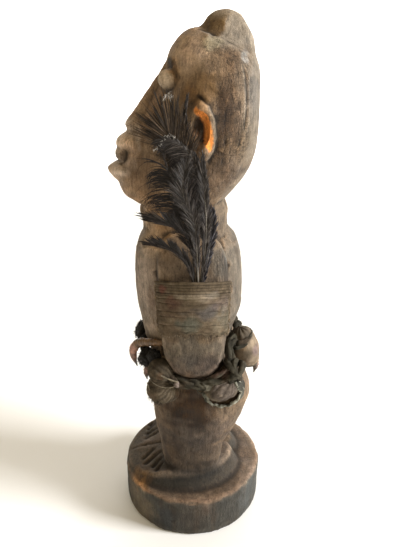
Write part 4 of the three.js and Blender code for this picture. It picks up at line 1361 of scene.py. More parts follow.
def build_armband():
    """Cloth wrapped over the outside of the left arm, with a rolled top hem and frayed edges."""
    skin, v = band_surface(rows=128, columns=200)
    u = np.linspace(0, 1, skin.shape[1])[None]
    spot = grid_of(80 * u, 46 * v, 0)
    out = unit(np.cross(np.gradient(skin, axis=1), np.gradient(skin, axis=0)))
    relief = 0.3 * rough(spot, 10, 171) + 0.2 * band_stripes(v)
    relief += 0.5 * bell(v - 0.985, 0.02) + 0.25 * noise(spot * (0.2, 1, 1), 2.2, 173)
    for gap, plain, _ in list(band_creases(spot, v))[1:]:
        relief -= 0.45 * bell(gap, 0.013) * plain
    skin = skin + out * relief[..., None]
    lay, tint = (np.vstack([grid.reshape(-1, 3)] * 2) for grid in (spot, band_tint(spot, v)))
    finish = woven_cloth("band cloth", 0.55, 0.3)
    made = piece("armband_cloth", slab(skin, 0.9), finish, "band_cloth", ["cloth_armband"], tint, lay=lay)
    fringe = band_threads(skin, out)
    shade = tone("band") * 1.7 * (1 + 0.4 * noise(fringe[0], 3, 183))[:, None]
    finish = woven_cloth("loose threads", 0.4, 0.2)
    loose = piece("armband_threads", fringe, finish, "band_cloth", ["cloth_armband"], shade, lay=fringe[0])
    width, height = (np.linalg.norm(np.diff(skin, axis=k), axis=2).sum(k).mean() for k in (1, 0))


# Feathers


def barbs(shaft, table, count, side, clump, half, rng):
    """Barbs on one side of a shaft: each leaves it at an angle, turns on by its curl along its
    length, and is a flat three-sided blade that narrows to its tip. The barbs of a group are drawn
    to the middle of their tips. Barbs lie close to the Y-Z plane."""
    steps = 8
    rows = np.array(table, float)
    place = np.linspace(rows[0, 0], rows[-1, 0], count) + rng.normal(0, 0.5, count) / count
    place = np.clip(place, 0, 1)
    length, angle, curl = (np.interp(place, rows[:, 0], rows[:, k]) for k in (1, 2, 3))
    run = place * (len(shaft) - 1)
    ahead = headings(shaft)
    root = np.stack([np.interp(run, np.arange(len(shaft)), shaft[:, k]) for k in range(3)], 1)
    way = unit(np.stack([np.interp(run, np.arange(len(shaft)), ahead[:, k]) for k in range(3)], 1))
    group = np.cumsum(rng.random(count) < 0.055)
    shared = rng.normal(0, 1, (3, group.max() + 1))[:, group]
    length = length * (1 + 0.10 * shared[0]) * rng.uniform(0.62, 1.10, count)
    lean = np.radians(angle * rng.normal(1, 0.14, count) + 3 * shared[1])
    turn = np.radians(curl * rng.normal(1, 0.4, count) + 6 * shared[2])
    t = np.linspace(0, 1, steps)
    bend = lean[:, None] + turn[:, None] * t[None] ** 1.3
    aside = np.cross(np.array([1.0, 0, 0]), way) * side
    travel = np.cos(bend)[..., None] * way[:, None] + np.sin(bend)[..., None] * aside[:, None]
    step = length[:, None, None] / (steps - 1)
    moved = np.concatenate([np.zeros((count, 1, 3)), np.cumsum(step * travel[:, :-1], 1)], 1)
    spine = root[:, None] + moved
    spine[..., 0] += rng.normal(0, 0.3, count)[:, None] * t + 0.5 * (1 + shared[0][:, None]) * t**2
    members = np.maximum(np.bincount(group), 1)
    tips = np.stack([np.bincount(group, spine[:, -1, k]) / members for k in range(3)], 1)
    spine = spine + (t**1.6)[None, :, None] * clump * (tips[group] - spine[:, -1])[:, None]
    wide = np.cross(np.array([1.0, 0, 0]), travel)
    roll = rng.normal(0, 0.5, count)[:, None, None]
    out = np.cos(roll) * np.array([1.0, 0, 0]) - np.sin(roll) * wide
    wide = np.cos(roll) * wide + np.sin(roll) * np.array([1.0, 0, 0])
    half = half * (1 - t[None] ** 2.2)[..., None] + 0.07
    return np.stack([spine + wide * half, spine + out * 0.35 * half, spine - wide * half], 2)


def blades(rings):
    """Many closed three-sided blades at once, from their rings (count, steps, 3, 3)."""
    count, steps, around, _ = rings.shape
    index = np.arange(count * steps * around).reshape(count, steps, around)
    after = np.roll(index, -1, axis=2)
    quads = np.stack([index[:, :-1], after[:, :-1], after[:, 1:], index[:, 1:]], -1).reshape(-1, 4)
    ends = np.vstack([index[:, 0, ::-1], index[:, -1]])
    return outward((rings.reshape(-1, 3), [quads, ends]))


def build_feather(number, feather, finish):
    """One feather: a tapering shaft, barbs on both sides, and a few long loose ones; a tenth of the barbs
    are painted pale as sheen.
    """
    colour_name, pale, share, clump, path, *sides = feather
    rng = np.random.default_rng(200 + number)
    line = evenly(path, 90)
    lean = 0.055 * np.maximum(0, line[:, 1] - 262)
    shaft = np.column_stack([FEATHER_FIRST + FEATHER_STEP * number - lean, line])
    stem = tube(shaft, np.linspace(0.62, 0.2, len(shaft)), 8)
    base = tone(colour_name)
    worn = ramp(noise(stem[0], 16, 190 + number), -0.15, 0.35)
    shapes, tints = [stem], [mixed(base * 1.5, tone("quill"), pale * worn)]
    count = int(sizes().barbs * share)
    for side, table in zip((1, -1), sides):
        table = np.array(table, float)
        loose = table * (1, 1.3, 1.2, 2)
        for rows, many, draw, half in ((table, count, clump, 0.36), (loose, count // 12, 0.1, 0.12)):
            rings = barbs(shaft, rows, many, side, draw, half, rng)
            shade = base * rng.uniform(0.45, 1.5, (many, 1))
            # Painted sheen: a tenth of the barbs made much paler.
            shade[rng.random(many) < 0.10] = base * 3.2
            shapes.append(blades(rings))
            tints.append(np.repeat(shade, rings.shape[1] * 3, axis=0))
    name = f"feather_barbs_{number + 1}"
    piece(name, together(shapes), finish, "feather", [f"feather_{number + 1}"], np.vstack(tints))


# The tufts of white down: the feather each clings to, its line, its number of fibres and their length.
DOWN = [
    (4, [(51.6, -22, 345), (51.4, -17, 350), (51.2, -12, 355.5), (51, -7, 354)], 60, 1.5),
    (3, [(49.4, -15.6, 378.6), (49.4, -12, 381), (49.4, -9, 379)], 26, 3.2),
]


def build_feathers():
    """All the feathers of the spray, and the few specks of white down that cling to two of them."""
    finish = plumage()
    for number, feather in enumerate(FEATHERS):
        build_feather(number, feather, finish)
    rng = np.random.default_rng(260)
    for number, line, count, length in DOWN:
        path = evenly(line, count) + rng.normal(0, 0.5, (count, 3))
        ways = unit(rng.normal(0, 1, (count, 3)) + (0, 0, 0.6))
        down = fibres(path, ways, rng, 2 * count, length, 0.14)
        tint = np.tile(tone("down"), (len(down[0]), 1))
        piece(f"down_{number}", down, finish, "feather", [f"feather_{number}"], tint)


# Belt


STRIP_RADII = (2.7, 2.4, 2.1)


def strand(line, number, turns, radius, offset, seed):
    """One of several twisted strips: a folded profile carried along an uneven helix round a line
    that is closed on itself. Its shade is painted lighter on the folds' ridges and darker in their
    hollows, as highlight and shade."""
    _, aside, across = frames(line, True, up=(0, 0, 1))
    run = np.linspace(0, 1, len(line), endpoint=False)
    phase = 2 * np.pi * (turns * run + number / len(STRIP_RADII)) + 1.1 * noise(line, 17, seed + 3)
    path = line + offset * (np.cos(phase)[:, None] * aside + np.sin(phase)[:, None] * across)
    length = np.linalg.norm(np.diff(line, axis=0), axis=1).sum()
    angle = np.linspace(0, 2 * np.pi, 16, endpoint=False)[None]
    c, s = np.cos(angle), np.sin(angle)
    along = (run * length)[:, None]
    twist = angle + 0.12 * along
    folds = 0.16 * np.cos(3 * twist + noise(line, 9, seed + 4)[:, None]) + 0.08 * np.cos(7 * twist + number)
    spot = grid_of(line[:, :1] + 3 * c, line[:, 1:2] + 3 * s, line[:, 2:])
    relief = radius * folds + 0.55 * noise(spot, 5, seed) + 0.25 * noise(spot, 1.7, seed + 1)
    shape = tube(path, radius, angle.size, closed=True, up=(0, 0, 1), relief=relief)
    # Painted highlight and shade: lighter where the folds rise, darker where they sink.
    shade = 1 + 0.55 * noise(spot, 6, seed + 2) + 1.1 * folds
    return shape, grid_of(along, 2 * c, 2 * s).reshape(-1, 3), shade.reshape(-1)


def fibres(points, ways, rng, count, length, radius=0.12):
    """Short loose fibres that stand off a surface, as blades."""
    chosen = rng.integers(0, len(points), count)
    t = np.linspace(0, 1, 4)[None, :, None]
    out = unit(ways[chosen] + 0.9 * rng.normal(0, 1, (count, 3)))
    sag = np.array([0, 0, -1.0]) * length * 0.35
    reach = length * rng.uniform(0.4, 1.2, count)[:, None, None]
    spine = points[chosen][:, None] + out[:, None] * reach * t + sag * t**2
    side = unit(np.cross(out, rng.normal(0, 1, (count, 3))))[:, None]
    third = np.cross(out[:, None], side)
    half = radius * (1 - 0.8 * t)
    rings = np.stack([spine + side * half, spine - 0.5 * side * half + 0.87 * third * half,
                      spine - 0.5 * side * half - 0.87 * third * half], 2)
    return blades(rings)


# Closed rings of cloth round the belt, each with the radius of its strip: three of the knot, the strap
# over the pouch, two lashings of the bundle behind and the loop of string.
BELT_RINGS = [
    (2.6, [
        (47, 28, 160), (51, 35, 163), (49, 41, 167), (43, 42, 170), (38, 38, 168), (38, 32, 163),
        (42, 28, 160),
    ]),
    (2.4, [
        (40, 30, 172), (47, 32, 171), (51, 37, 166), (49, 40, 161), (43, 40, 158), (38, 36, 160),
        (36, 31, 166),
    ]),
    (2.1, [
        (46, 31, 155), (51, 33, 160), (50.5, 35, 167), (46, 36, 173), (41, 37, 172), (38, 37, 165),
        (41, 35, 157),
    ]),
    (1.5, [
        (49.5, 16, 160.6), (51, 22, 164.6), (49, 30, 168.4), (45, 31, 167), (44, 24, 162),
        (45, 17, 158.8),
    ]),
    (1.9, [
        (28, 40, 180), (24, 47, 181.5), (15, 50.5, 182), (5, 47, 181), (1.5, 41, 179), (7, 37.8, 178),
        (20, 36, 178.5),
    ]),
    (1.6, [
        (29, 38, 177), (25, 46.5, 177.5), (15, 51, 178), (4, 48, 177.5), (0.5, 41, 175.5),
        (7, 37, 175), (20, 35.5, 175.5),
    ]),
    (0.6, [
        (52.6, 5.6, 154.4), (54, 7, 151), (54, 9.6, 149.8), (54.4, 12, 152), (54.6, 12.6, 156),
        (53, 9.6, 158),
    ]),
]


def build_belt():
    """Strips of cloth twisted round each other, once round the waist, with the knot that ties them,
    the lashing of the bundle behind, a strap over the pouch and a loop of string below the belt."""
    line = evenly(BELT_LINE, 520, closed=True)
    parts = [strand(line, k, 8, radius, 1.9, 300 + 10 * k) for k, radius in enumerate(STRIP_RADII)]
    for k, (radius, ring) in enumerate(BELT_RINGS):
        parts.append(strand(evenly(ring, 100, closed=True), k, 3, radius, 0.4, 340 + 10 * k))
    rope = together([shape for shape, _, _ in parts])
    rng = np.random.default_rng(399)
    hairs = fibres(rope[0], unit(rope[0] - rope[0].mean(0)), rng, 420, 2.0)
    whole = together([rope, hairs])
    shade = np.concatenate([value for _, _, value in parts] + [np.full(len(hairs[0]), 1.5)])
    lay = np.vstack([marks for _, marks, _ in parts] + [hairs[0]])
    x, y, _ = whole[0].T
    tint = tone("rope") * np.clip(shade, 0.2, 2.4)[:, None]
    tint = mixed(tint, tone("dust") * 0.6, 0.5 * ramp(noise(whole[0], 7, 397), 0.1, 0.6))
    tint = mixed(tint, tint * 1.5, ramp(y, 4, 12) * ramp(y, 26, 20) * ramp(x, 40, 46))
    tint = mixed(tint, tone("tuft") * 2, 0.9 * ramp(y, -26, -31) * ramp(x, 44, 36))
    tint = mixed(tint, tone("belt_rust"), 0.7 * patch(whole[0], (48, 24, 165.5), (5, 9, 5), 0.4, 0.3, 398))
    finish = woven_cloth("belt cloth", 0.5, 0.25)
    piece("belt_twist", whole, finish, "belt_cloth", ["belt_rope"], tint, lay=lay)


# Bundles


def stuffed(middle, halves, tilt, folds, pole=(0, 0, 1)):
    """A stuffed cloth lump: an ellipsoid whose radius is raised by the given folds, which take the
    longitude and the latitude about the pole and the places on the ellipsoid."""
    longitude, latitude, ways = ball(150, 96)
    ways = aimed(ways, pole)
    spots = ways * np.array(halves, float)
    raised = folds(longitude, latitude, spots)
    body = spots + unit(ways / np.array(halves, float)) * raised[..., None]
    return capsule(tipped(body, middle, tilt)), spots, raised


def fold_depth():
    """The depth set for the folds, in millimetres."""
    return sizes().fold / MM


def pleats(longitude, latitude, spots, count, seed):
    """Rounded folds with sharp valleys that fan out from the pole and die away behind, from 0 to 1,
    and a few broader ones."""
    wander = 0.9 * noise(spots, 9, seed) + 0.4 * noise(spots, 3.5, seed + 1)
    fine = np.abs(np.sin(count / 2 * longitude + 0.9 * latitude + 1.4 * wander)) ** 0.8
    broad = 0.5 + 0.5 * np.sin(round(count / 3) * longitude - 0.8 * latitude + 2 * wander)
    reach = ramp(latitude + 0.4 * wander, -1.2, 0.6) * np.cos(latitude) ** 0.5
    return reach * (0.55 * fine + 0.45 * broad)


def with_poles(values):
    """Values on a grid as one list, with the mean of the first and last row for the two poles."""
    flat = values.reshape(-1, *values.shape[2:])
    return np.concatenate([flat, values[:1].mean(1), values[-1:].mean(1)])


# The two lobes of the front bundle: middle, half sizes, tilt, the way to the pinch, number of folds,
# seed and strength of the colour. Then the cords over them, each with its radius.
LOBES = [
    ((40, -23.6, 162), (11.2, 11, 11), -10, (9, 12, -6), 15, 401, 0.9),
    ((41.6, -22.4, 145), (11.2, 13.8, 13), 8, (8, 12, 10), 19, 405, 1.15),
]
CORDS = [
    (0.6, [
        (49.5, -27, 165.6), (51.6, -21.4, 164), (52.4, -17.2, 162.2), (52.4, -13, 160.4),
        (51.5, -9.5, 158.5),
    ]),
    (0.5, [
        (45.8, -34.6, 154), (48, -33, 149), (49, -29.6, 143.5), (48, -25.8, 137),
    ]),
    (0.35, [
        (46.8, -32.8, 158), (50.4, -27.6, 155.4), (52.4, -21.6, 154), (52.8, -15, 154),
        (51.5, -10.5, 155),
    ]),
]


def lobe(middle, halves, tilt, pole, count, seed, strength):
    """One lobe of the front bundle: its shape, its colours, lighter on the ridges of its folds and darker
    in their hollows as painted highlight and shade, and its places for the weave.
    """
    def folds(longitude, latitude, spots):
        deep = 1.7 * fold_depth() * (pleats(longitude, latitude, spots, count, seed) - 0.4)
        return deep + 0.6 * noise(spots, 8, seed + 2) + 0.25 * noise(spots, 2.6, seed + 3)

    body, spots, raised = stuffed(middle, halves, tilt, folds, pole)
    # Painted highlight and shade: lighter where the folds rise, darker where they sink.
    light = np.clip(0.95 + 0.42 * raised + 0.35 * noise(spots, 7, seed + 4), 0.28, 2.1)
    tint = tone("bundle") * strength * with_poles(light)[:, None]
    rust = with_poles(ramp(noise(spots, 6, seed + 5), 0.2, 0.7))
    tint = mixed(tint, tone("bundle_rust"), 0.45 * rust)
    low = ramp(body[0][:, 2], 138, 133) * ramp(body[0][:, 1], -20, -27)
    return body, mixed(tint, tone("tuft"), 0.85 * low), with_poles(spots)


def build_front_bundle():
    """The folded bundle at the left front: two lobes whose folds fan out from the pinch where they
    are tied, with pale cords across them and a black fringe below."""
    shapes, tints, lays = zip(*(lobe(*row) for row in LOBES))
    strings = together([thread(cord, radius, 7) for radius, cord in CORDS])
    knob = lump((50.4, -10.4, 155.6), (2.8, 2.6, 3), 20, 30, 20)
    rng = np.random.default_rng(417)
    spots, faces = together(shapes)
    low = spots[(spots[:, 2] < 140) & (spots[:, 1] < -23)]
    fringe = fibres(low, unit(low - np.array([42, -22, 150])), rng, 300, 3.2, 0.17)
    whole = together([(spots, faces), strings, knob, fringe])
    ends = [strings[0], knob[0], fringe[0]]
    shades = [
        *tints, tone("cord") * (1 + 0.4 * noise(ends[0], 3, 418))[:, None],
        tone("knob") * (1 + 0.5 * noise(ends[1], 2, 419))[:, None],
        np.tile(tone("tuft") * 2, (len(ends[2]), 1)),
    ]
    made = piece(
        "front_bundle_cloth", whole, woven_cloth("bundle cloth", 0.5, 0.22), "bundle_cloth",
        ["bundle_front_left"], np.vstack(shades), lay=np.vstack([*lays, *ends]),
    )


def build_pouch():
    """The round purple-grey pouch: folds that fan out from its upper back end, painted lighter on their
    ridges and darker in their hollows as highlight and shade.
    """
    def folds(longitude, latitude, spots):
        deep = 1.7 * fold_depth() * (pleats(longitude, latitude, spots, 13, 421) - 0.45)
        return deep + 0.5 * noise(spots, 6, 423) + 0.2 * noise(spots, 2.2, 424)

    body, spots, raised = stuffed((45.6, 25, 149), (10.6, 14.6, 11.8), 16, folds, (0.3, 0.75, 0.6))
    # Painted highlight and shade: lighter where the folds rise, darker where they sink.
    shade = np.clip(0.95 + 0.4 * raised + 0.3 * noise(spots, 7, 425), 0.3, 2)
    tint = tone("pouch") * with_poles(shade)[:, None]
    tint = mixed(tint, tone("pouch_tan"), 0.5 * with_poles(ramp(noise(spots, 6, 427), 0.1, 0.6)))
    finish = woven_cloth("pouch cloth", 0.45, 0.22)
    made = piece("pouch_cloth", body, finish, "pouch_cloth", ["pouch_left"], tint, lay=with_poles(spots))


def build_wrapper():
    """The torn cloth that cups the pouch: a zone of an ellipsoid, along its lower arc, with a ragged
    rim towards the outside that is rolled into two cords. A painted highlight lightens the rim and its
    cords, and the inner face is darkened as painted shade."""
    arc = np.radians(np.linspace(176, 404, 190))[None]
    share = np.linspace(0, 1, 60)[:, None]
    spot = grid_of(16 * arc, 14 * share, 0)
    line = grid_of(16 * arc[0], 0, 0)
    rim = 36 + 7 * noise(line, 6, 431) + 4 * noise(line, 1.7, 433)
    zone = np.radians(-68 + share * (rim[None] + 68))
    swell = 1 + 0.04 * noise(spot, 6, 435) + 0.025 * np.sin(0.9 * spot[..., 0] + 2 * noise(spot, 7, 437))
    ways = grid_of(np.sin(zone), np.cos(zone) * np.cos(arc), np.cos(zone) * np.sin(arc))
    skin = tipped(ways * (12.8, 17.6, 16.6) * swell[..., None], (41.2, 26.5, 146.5), 10)
    # Painted highlight: lighter towards the rim.
    shade = 1.15 + 0.6 * noise(spot, 4, 439) + 0.5 * ramp(share, 0.86, 0.98)
    tint = tone("wrapper") * np.clip(shade, 0.3, 2.4).reshape(-1, 1)
    # Painted shade: the inner face, towards the pouch, keeps 0.3 of the outer colour.
    tints, lay = np.vstack([tint, 0.3 * tint]), np.vstack([spot.reshape(-1, 3)] * 2)
    finish = woven_cloth("torn cloth", 0.5, 0.25)
    cloth = slab(skin, 1.0)
    made = piece("pouch_wrap_cloth", cloth, finish, "bundle_cloth", ["pouch_wrapper"], tints, lay=lay)
    rng = np.random.default_rng(441)
    rolls = []
    for row, radius, seed in ((-2, 1.15, 443), (-11, 0.8, 445)):
        way = skin[row, ::5] + (0.4, 0, 0) + 0.5 * noise(skin[row, ::5], 4, seed)[:, None]
        roll = evenly(way, 220)
        relief = 0.25 * noise(roll, 1.1, seed + 2)[:, None] * np.ones((1, 10))
        rolls.append(tube(roll, radius * (1 + 0.45 * noise(roll, 3.2, seed + 1)), 10, relief=relief))
    cords = together(rolls)
    edge = skin[-1, ::6]
    hairs = fibres(edge, np.tile((0.8, 0, -0.4), (len(edge), 1)), rng, 220, 1.8, 0.15)
    frayed = together([cords, hairs])
    # Painted highlight on the rolled cords of the rim.
    light = np.concatenate([1.5 + 0.9 * noise(cords[0], 5, 447), np.full(len(hairs[0]), 1.6)])
    tint = tone("wrapper") * light[:, None]
    fray = piece("pouch_wrap_fray", frayed, finish, "bundle_cloth", ["pouch_wrapper"], tint, lay=frayed[0])
    across, along = (np.linalg.norm(np.diff(skin, axis=k), axis=2).sum(k).max() * MM for k in (0, 1))


def build_back_bundle():
    """The egg of skin tied to the back of the belt, gathered towards its tied neck."""
    def folds(longitude, latitude, spots):
        pulled = 0.45 * ramp(latitude, 0.4, 1.3) * np.cos(9 * longitude + 2 * noise(spots, 9, 451))
        seam = 0.9 * bell(latitude + 0.85 + 0.12 * np.sin(2 * longitude), 0.12)
        return pulled + seam + 0.5 * noise(spots, 7, 453) + 0.2 * noise(spots, 2.4, 455) - 0.4

    body, spots, _ = stuffed((15, 46.3, 169), (13.5, 11.8, 19.5), 14, folds)
    _, latitude, _ = ball(*spots.shape[1::-1])
    tint = tone("skin") * with_poles(1 + 0.35 * noise(spots, 8, 459))[:, None]
    for shade, share, place in (
        ("skin_mauve", 0.6, ramp(noise(spots, 9, 461), 0, 0.5)),
        ("skin_tan", 0.5, ramp(noise(spots, 6, 463), 0.1, 0.6)),
        ("skin_green", 0.92, ramp(latitude + 0.15 * noise(spots, 5, 457), -0.72, -0.95)),
    ):
        tint = mixed(tint, tone(shade), share * with_poles(place))
    top = ramp(latitude + 0.25 * noise(spots, 6, 465), 0.55, 0.95)
    tint = mixed(tint, tone("bundle") * 0.55, 0.85 * with_poles(top))
    made = piece("back_bundle_skin", body, dry_skin(), "bundle_skin", ["bundle_back"], tint)


# Claws


def claw(name, slot, node, points, radii, tints, scales, seed, finish):
    """A claw: a profile along a smooth line, ringed where it is skin and smooth where it is horn."""
    line = evenly(points, 130)
    t = np.linspace(0, 1, len(line))
    radius = through([(r,) for r in radii], t * (len(radii) - 1))[:, 0]
    skin = ramp(t, 0.78, 0.66)
    radius = radius * (1 + 0.12 * skin * np.abs(np.sin(scales * np.pi * t)) - 0.05 * skin)
    angle = np.linspace(0, 2 * np.pi, 28, endpoint=False)[None]
    spot = grid_of(60 * t[:, None], 3 * np.cos(angle), 3 * np.sin(angle))
    relief = 0.45 * skin[:, None] * noise(spot, 2, seed) + 0.12 * noise(spot * (0.2, 1, 1), 1.4, seed + 1)
    shape = tube(line, radius, 28, flat=0.85, relief=relief)
    places, shades = zip(*tints)
    grid = np.stack([np.interp(t, places, channel) for channel in np.array(shades).T], 1)[:, None]
    grid = grid * (1 + 0.6 * noise(spot, 3, seed + 2) + 0.3 * noise(spot, 1.3, seed + 3))[..., None]
    piece(name, shape, finish, slot, [node], with_poles(grid))


def build_claws():
    """The talon and small claw in front, and the claw behind."""
    finish = horn()
    brown, pink, dark = tone("talon"), tone("pink_horn"), tone("horn")
    claw(
        "talon_front", "talon", "claw_front",
        [
            (33.5, -20, 184), (28.5, -31, 181.5), (21, -42.5, 176.5), (17, -48, 168), (16, -48.4, 159),
            (15, -46, 149.5),
        ],
        (2.7, 3.1, 3.5, 3.7, 2.8, 0.5),
        [
            (0, brown * 0.8), (0.3, brown), (0.5, brown * 1.15), (0.62, pink), (0.84, pink * 0.75),
            (0.93, dark), (1, dark),
        ],
        22, 471, finish,
    )
    claw(
        "claw_small_front", "dark_claw", "claw_small",
        [(14, -34, 150), (12, -37.5, 145), (11, -39, 139), (11, -38.5, 132.5)], (3, 3, 2.2, 0.4),
        [(0, brown * 0.6), (0.5, pink * 0.7), (0.8, dark), (1, dark)], 8, 475, finish,
    )
    claw(
        "claw_under_bundle", "dark_claw", "claw_back",
        [(15, 52, 161), (15, 55, 154.5), (15, 55.6, 148.5), (15, 54.3, 142.8)], (3.4, 3.3, 2.3, 0.4),
        [(0, tone("skin") * 0.9), (0.4, pink * 0.9), (0.7, dark * 2), (1, dark)], 8, 479, finish,
    )


# Tufts


# The lumps of each tuft: middle, half sizes and tilt. Then the red and tan clots on them.
TUFT_FRONT = [
    ((14, -39, 157), (9, 7, 6.5), 0), ((24, -36.5, 164), (8, 7, 7), 0),
    ((33.5, -29.6, 171.5), (6.4, 6.6, 6.4), 0),
]
TUFT_RIGHT = [((-8, -43, 172.5), (10.5, 6.4, 8.5), -20), ((-11, -41, 163.5), (6.5, 5, 4.5), 0)]
CLOTS = [((4, -41, 173), (5, 4, 4), "tuft_tan"), ((14, -43, 163), (5, 4, 3), "tuft_red")]


def build_tuft(name, node, lumps, seed, finish):
    """A clot of matted hair: knobbly lumps with short bent strands standing off them."""
    rng = np.random.default_rng(seed)
    shapes = []
    for middle, halves, tilt in lumps:
        _, _, ways = ball(60, 40)
        swell = 0.86 + 0.16 * noise(ways * 10, 3.5, seed + 1) + 0.10 * noise(ways * 10, 1.6, seed + 2)
        shapes.append(capsule(tipped(ways * np.array(halves) * swell[..., None], middle, tilt)))
    core = together(shapes)
    hairs = fibres(core[0], unit(core[0] - core[0].mean(0)), rng, 900, 3.2, 0.2)
    whole = together([core, hairs])
    spread = rng.uniform(0.6, 2.2, len(hairs[0]) // 12).repeat(12)
    shade = np.concatenate([1 + 0.6 * noise(core[0], 3, seed + 3), spread])
    tint = tone("tuft") * shade[:, None]
    for middle, halves, clot in CLOTS:
        tint = mixed(tint, tone(clot), 0.8 * patch(whole[0], middle, halves, 0.4, 0.2, seed + 4))
    piece(name, whole, finish, "black_tuft", [node], tint)


def build_tufts():
    """The two black tufts at the front of the belt."""
    finish = matted_hair()
    build_tuft("tuft_hair_front", "tuft_front", TUFT_FRONT, 481, finish)
    build_tuft("tuft_hair_right", "tuft_right", TUFT_RIGHT, 491, finish)


# Stage


def sweep(width=6.0, front=2.2, back=-1.8, bend=0.6, height=3.0):
    """A floor that turns up into a wall: a profile of floor, quarter circle and wall, carried along Y."""
    turn = np.linspace(0, np.pi / 2, 24)
    floor = np.column_stack([np.linspace(front, back, 12), np.zeros(12)])
    curve = np.column_stack([back - bend * np.sin(turn), bend * (1 - np.cos(turn))])
    wall = np.column_stack([np.full(6, back - bend), np.linspace(bend, height, 6)])
    x, z = np.vstack([floor, curve[1:], wall[1:]]).T[..., None]
    grid = grid_of(x, np.linspace(-width / 2, width / 2, 24), z) / MM
    index = np.arange(grid.shape[0] * 24).reshape(-1, 24)
    quads = np.stack([index[:-1, :-1], index[:-1, 1:], index[1:, 1:], index[1:, :-1]], -1)
    return grid.reshape(-1, 3), [quads.reshape(-1, 4)]


SKY_COLOUR = (1.0, 0.865, 0.63, 1)
SKY_STRENGTH = 0.54
# Each light: name, place, aim, size in metres and power in watts.
LIGHTS = [
    ("window", (0.95, 4.0, 2.0), (0, 0, 0.1), 1.4, 360),
    ("back wall light", (-1.2, 0.0, 1.2), (-2.4, 0, 1.0), 1.0, 40),
]


def area_light(name, place, aim, size, power):
    """A soft square white light at a place, turned to its aim."""
    light = bpy.data.lights.new(name, "AREA")
    light.shape = "SQUARE"
    light.size = size
    light.energy = power
    made = linked(name, light)
    made.location = place
    x, y, z = np.subtract(aim, place)
    made.rotation_euler = (math.atan2(math.hypot(x, y), -z), 0, math.atan2(y, x) - math.pi / 2)


def build_stage():
    """Camera at the photograph's angle, pale floor and wall, soft light from the right and around."""
    scene = bpy.context.scene
    camera = bpy.data.cameras.new("camera")
    camera.lens = FOCAL_PX / PHOTO_HEIGHT_PX * SENSOR_MM
    camera.sensor_width = SENSOR_MM
    camera.clip_end = 50
    scene.camera = linked("camera", camera)
    scene.camera.location = CAMERA_PLACE
    scene.camera.rotation_euler = (math.radians(90 - CAMERA_TILT_DOWN), 0, math.radians(90))
    floor = linked("floor", mesh_of("floor", sweep()))
    floor.data.materials.append(pale_floor())
    floor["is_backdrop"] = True
    scene.world = bpy.data.worlds.new("soft room")
    scene.world.use_nodes = True
    sky = scene.world.node_tree.nodes["Background"].inputs
    sky["Color"].default_value = SKY_COLOUR
    sky["Strength"].default_value = SKY_STRENGTH
    scene.view_settings.view_transform = "Standard"
    for light in LIGHTS:
        area_light(*light)


# Operators


class FIGURE_OT_stage(bpy.types.Operator):
    """Makes the camera, floor, wall and lights"""

    bl_idname = "figure.stage"
    bl_label = "Stage and camera"

    def execute(self, context):
        build_stage()
        return {"FINISHED"}


class FIGURE_OT_carving(bpy.types.Operator):
    """Hews, cuts and paints the wooden figure"""

    bl_idname = "figure.carving"
    bl_label = "Carved figure"

    def execute(self, context):
        build_carving()
        return {"FINISHED"}


class FIGURE_OT_armband(bpy.types.Operator):
    """Wraps the cloth round the left arm"""

    bl_idname = "figure.armband"
    bl_label = "Cloth band"

    def execute(self, context):
        build_armband()
        return {"FINISHED"}


class FIGURE_OT_feathers(bpy.types.Operator):
    """Makes the spray of cock feathers"""

    bl_idname = "figure.feathers"
    bl_label = "Feathers"

    def execute(self, context):
        build_feathers()
        return {"FINISHED"}


class FIGURE_OT_belt(bpy.types.Operator):
    """Twists the belt and ties its knot"""

    bl_idname = "figure.belt"
    bl_label = "Belt"

    def execute(self, context):
        build_belt()
        return {"FINISHED"}


class FIGURE_OT_front_bundle(bpy.types.Operator):
    """Folds and ties the bundle at the left front"""

    bl_idname = "figure.front_bundle"
    bl_label = "Front bundle"

    def execute(self, context):
        build_front_bundle()
        return {"FINISHED"}


class FIGURE_OT_pouch(bpy.types.Operator):
    """Makes the round pouch"""

    bl_idname = "figure.pouch"
    bl_label = "Pouch"

    def execute(self, context):
        build_pouch()
        return {"FINISHED"}


class FIGURE_OT_wrapper(bpy.types.Operator):
    """Cups the pouch in its torn cloth"""

    bl_idname = "figure.wrapper"
    bl_label = "Pouch wrapper"

    def execute(self, context):
        build_wrapper()
        return {"FINISHED"}


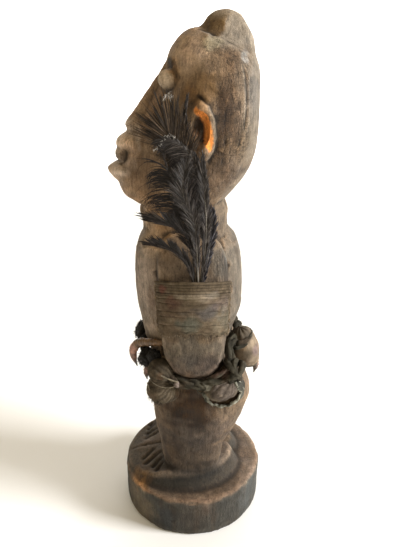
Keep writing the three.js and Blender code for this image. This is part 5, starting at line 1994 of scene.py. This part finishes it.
class FIGURE_OT_back_bundle(bpy.types.Operator):
    """Draws the skin over the bundle behind"""

    bl_idname = "figure.back_bundle"
    bl_label = "Back bundle"

    def execute(self, context):
        build_back_bundle()
        return {"FINISHED"}


class FIGURE_OT_claws(bpy.types.Operator):
    """Makes the talon and the two claws"""

    bl_idname = "figure.claws"
    bl_label = "Claws"

    def execute(self, context):
        build_claws()
        return {"FINISHED"}


class FIGURE_OT_tufts(bpy.types.Operator):
    """Makes the two black tufts"""

    bl_idname = "figure.tufts"
    bl_label = "Tufts"

    def execute(self, context):
        build_tufts()
        return {"FINISHED"}


OPERATORS = [
    FIGURE_OT_stage, FIGURE_OT_carving, FIGURE_OT_armband, FIGURE_OT_feathers, FIGURE_OT_belt,
    FIGURE_OT_front_bundle, FIGURE_OT_pouch, FIGURE_OT_wrapper, FIGURE_OT_back_bundle,
    FIGURE_OT_claws, FIGURE_OT_tufts,
]


class FIGURE_PT_panel(bpy.types.Panel):
    """The steps that build the figure, in order, with its sizes and colours."""

    bl_idname = "FIGURE_PT_panel"
    bl_label = "Power figure"
    bl_space_type = "VIEW_3D"
    bl_region_type = "UI"
    bl_category = "Figure"

    def draw(self, context):
        for step in OPERATORS:
            self.layout.operator(step.bl_idname)
        for group in (context.scene.figure_sizes, context.scene.figure_colours):
            box = self.layout.box()
            for key in group.bl_rna.properties.keys():
                if key not in ("rna_type", "name"):
                    box.prop(group, key)


CLASSES = [FigureSizes, FigureColours, *OPERATORS, FIGURE_PT_panel]


def register():
    for each in CLASSES:
        bpy.utils.register_class(each)
    bpy.types.Scene.figure_sizes = PointerProperty(type=FigureSizes)
    bpy.types.Scene.figure_colours = PointerProperty(type=FigureColours)


def unregister():
    del bpy.types.Scene.figure_sizes
    del bpy.types.Scene.figure_colours
    for each in reversed(CLASSES):
        bpy.utils.unregister_class(each)


def corners(box):
    """A box as plain lists."""
    return [list(corner) for corner in box]


def main():
    """Builds everything in order."""
    cad_box = corners(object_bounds())
    register()
    for step in OPERATORS:
        getattr(bpy.ops.figure, step.bl_idname.split(".")[1])()
    {"cad": cad_box, "visual": corners(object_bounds())}


if __name__ == "__main__":
    main()
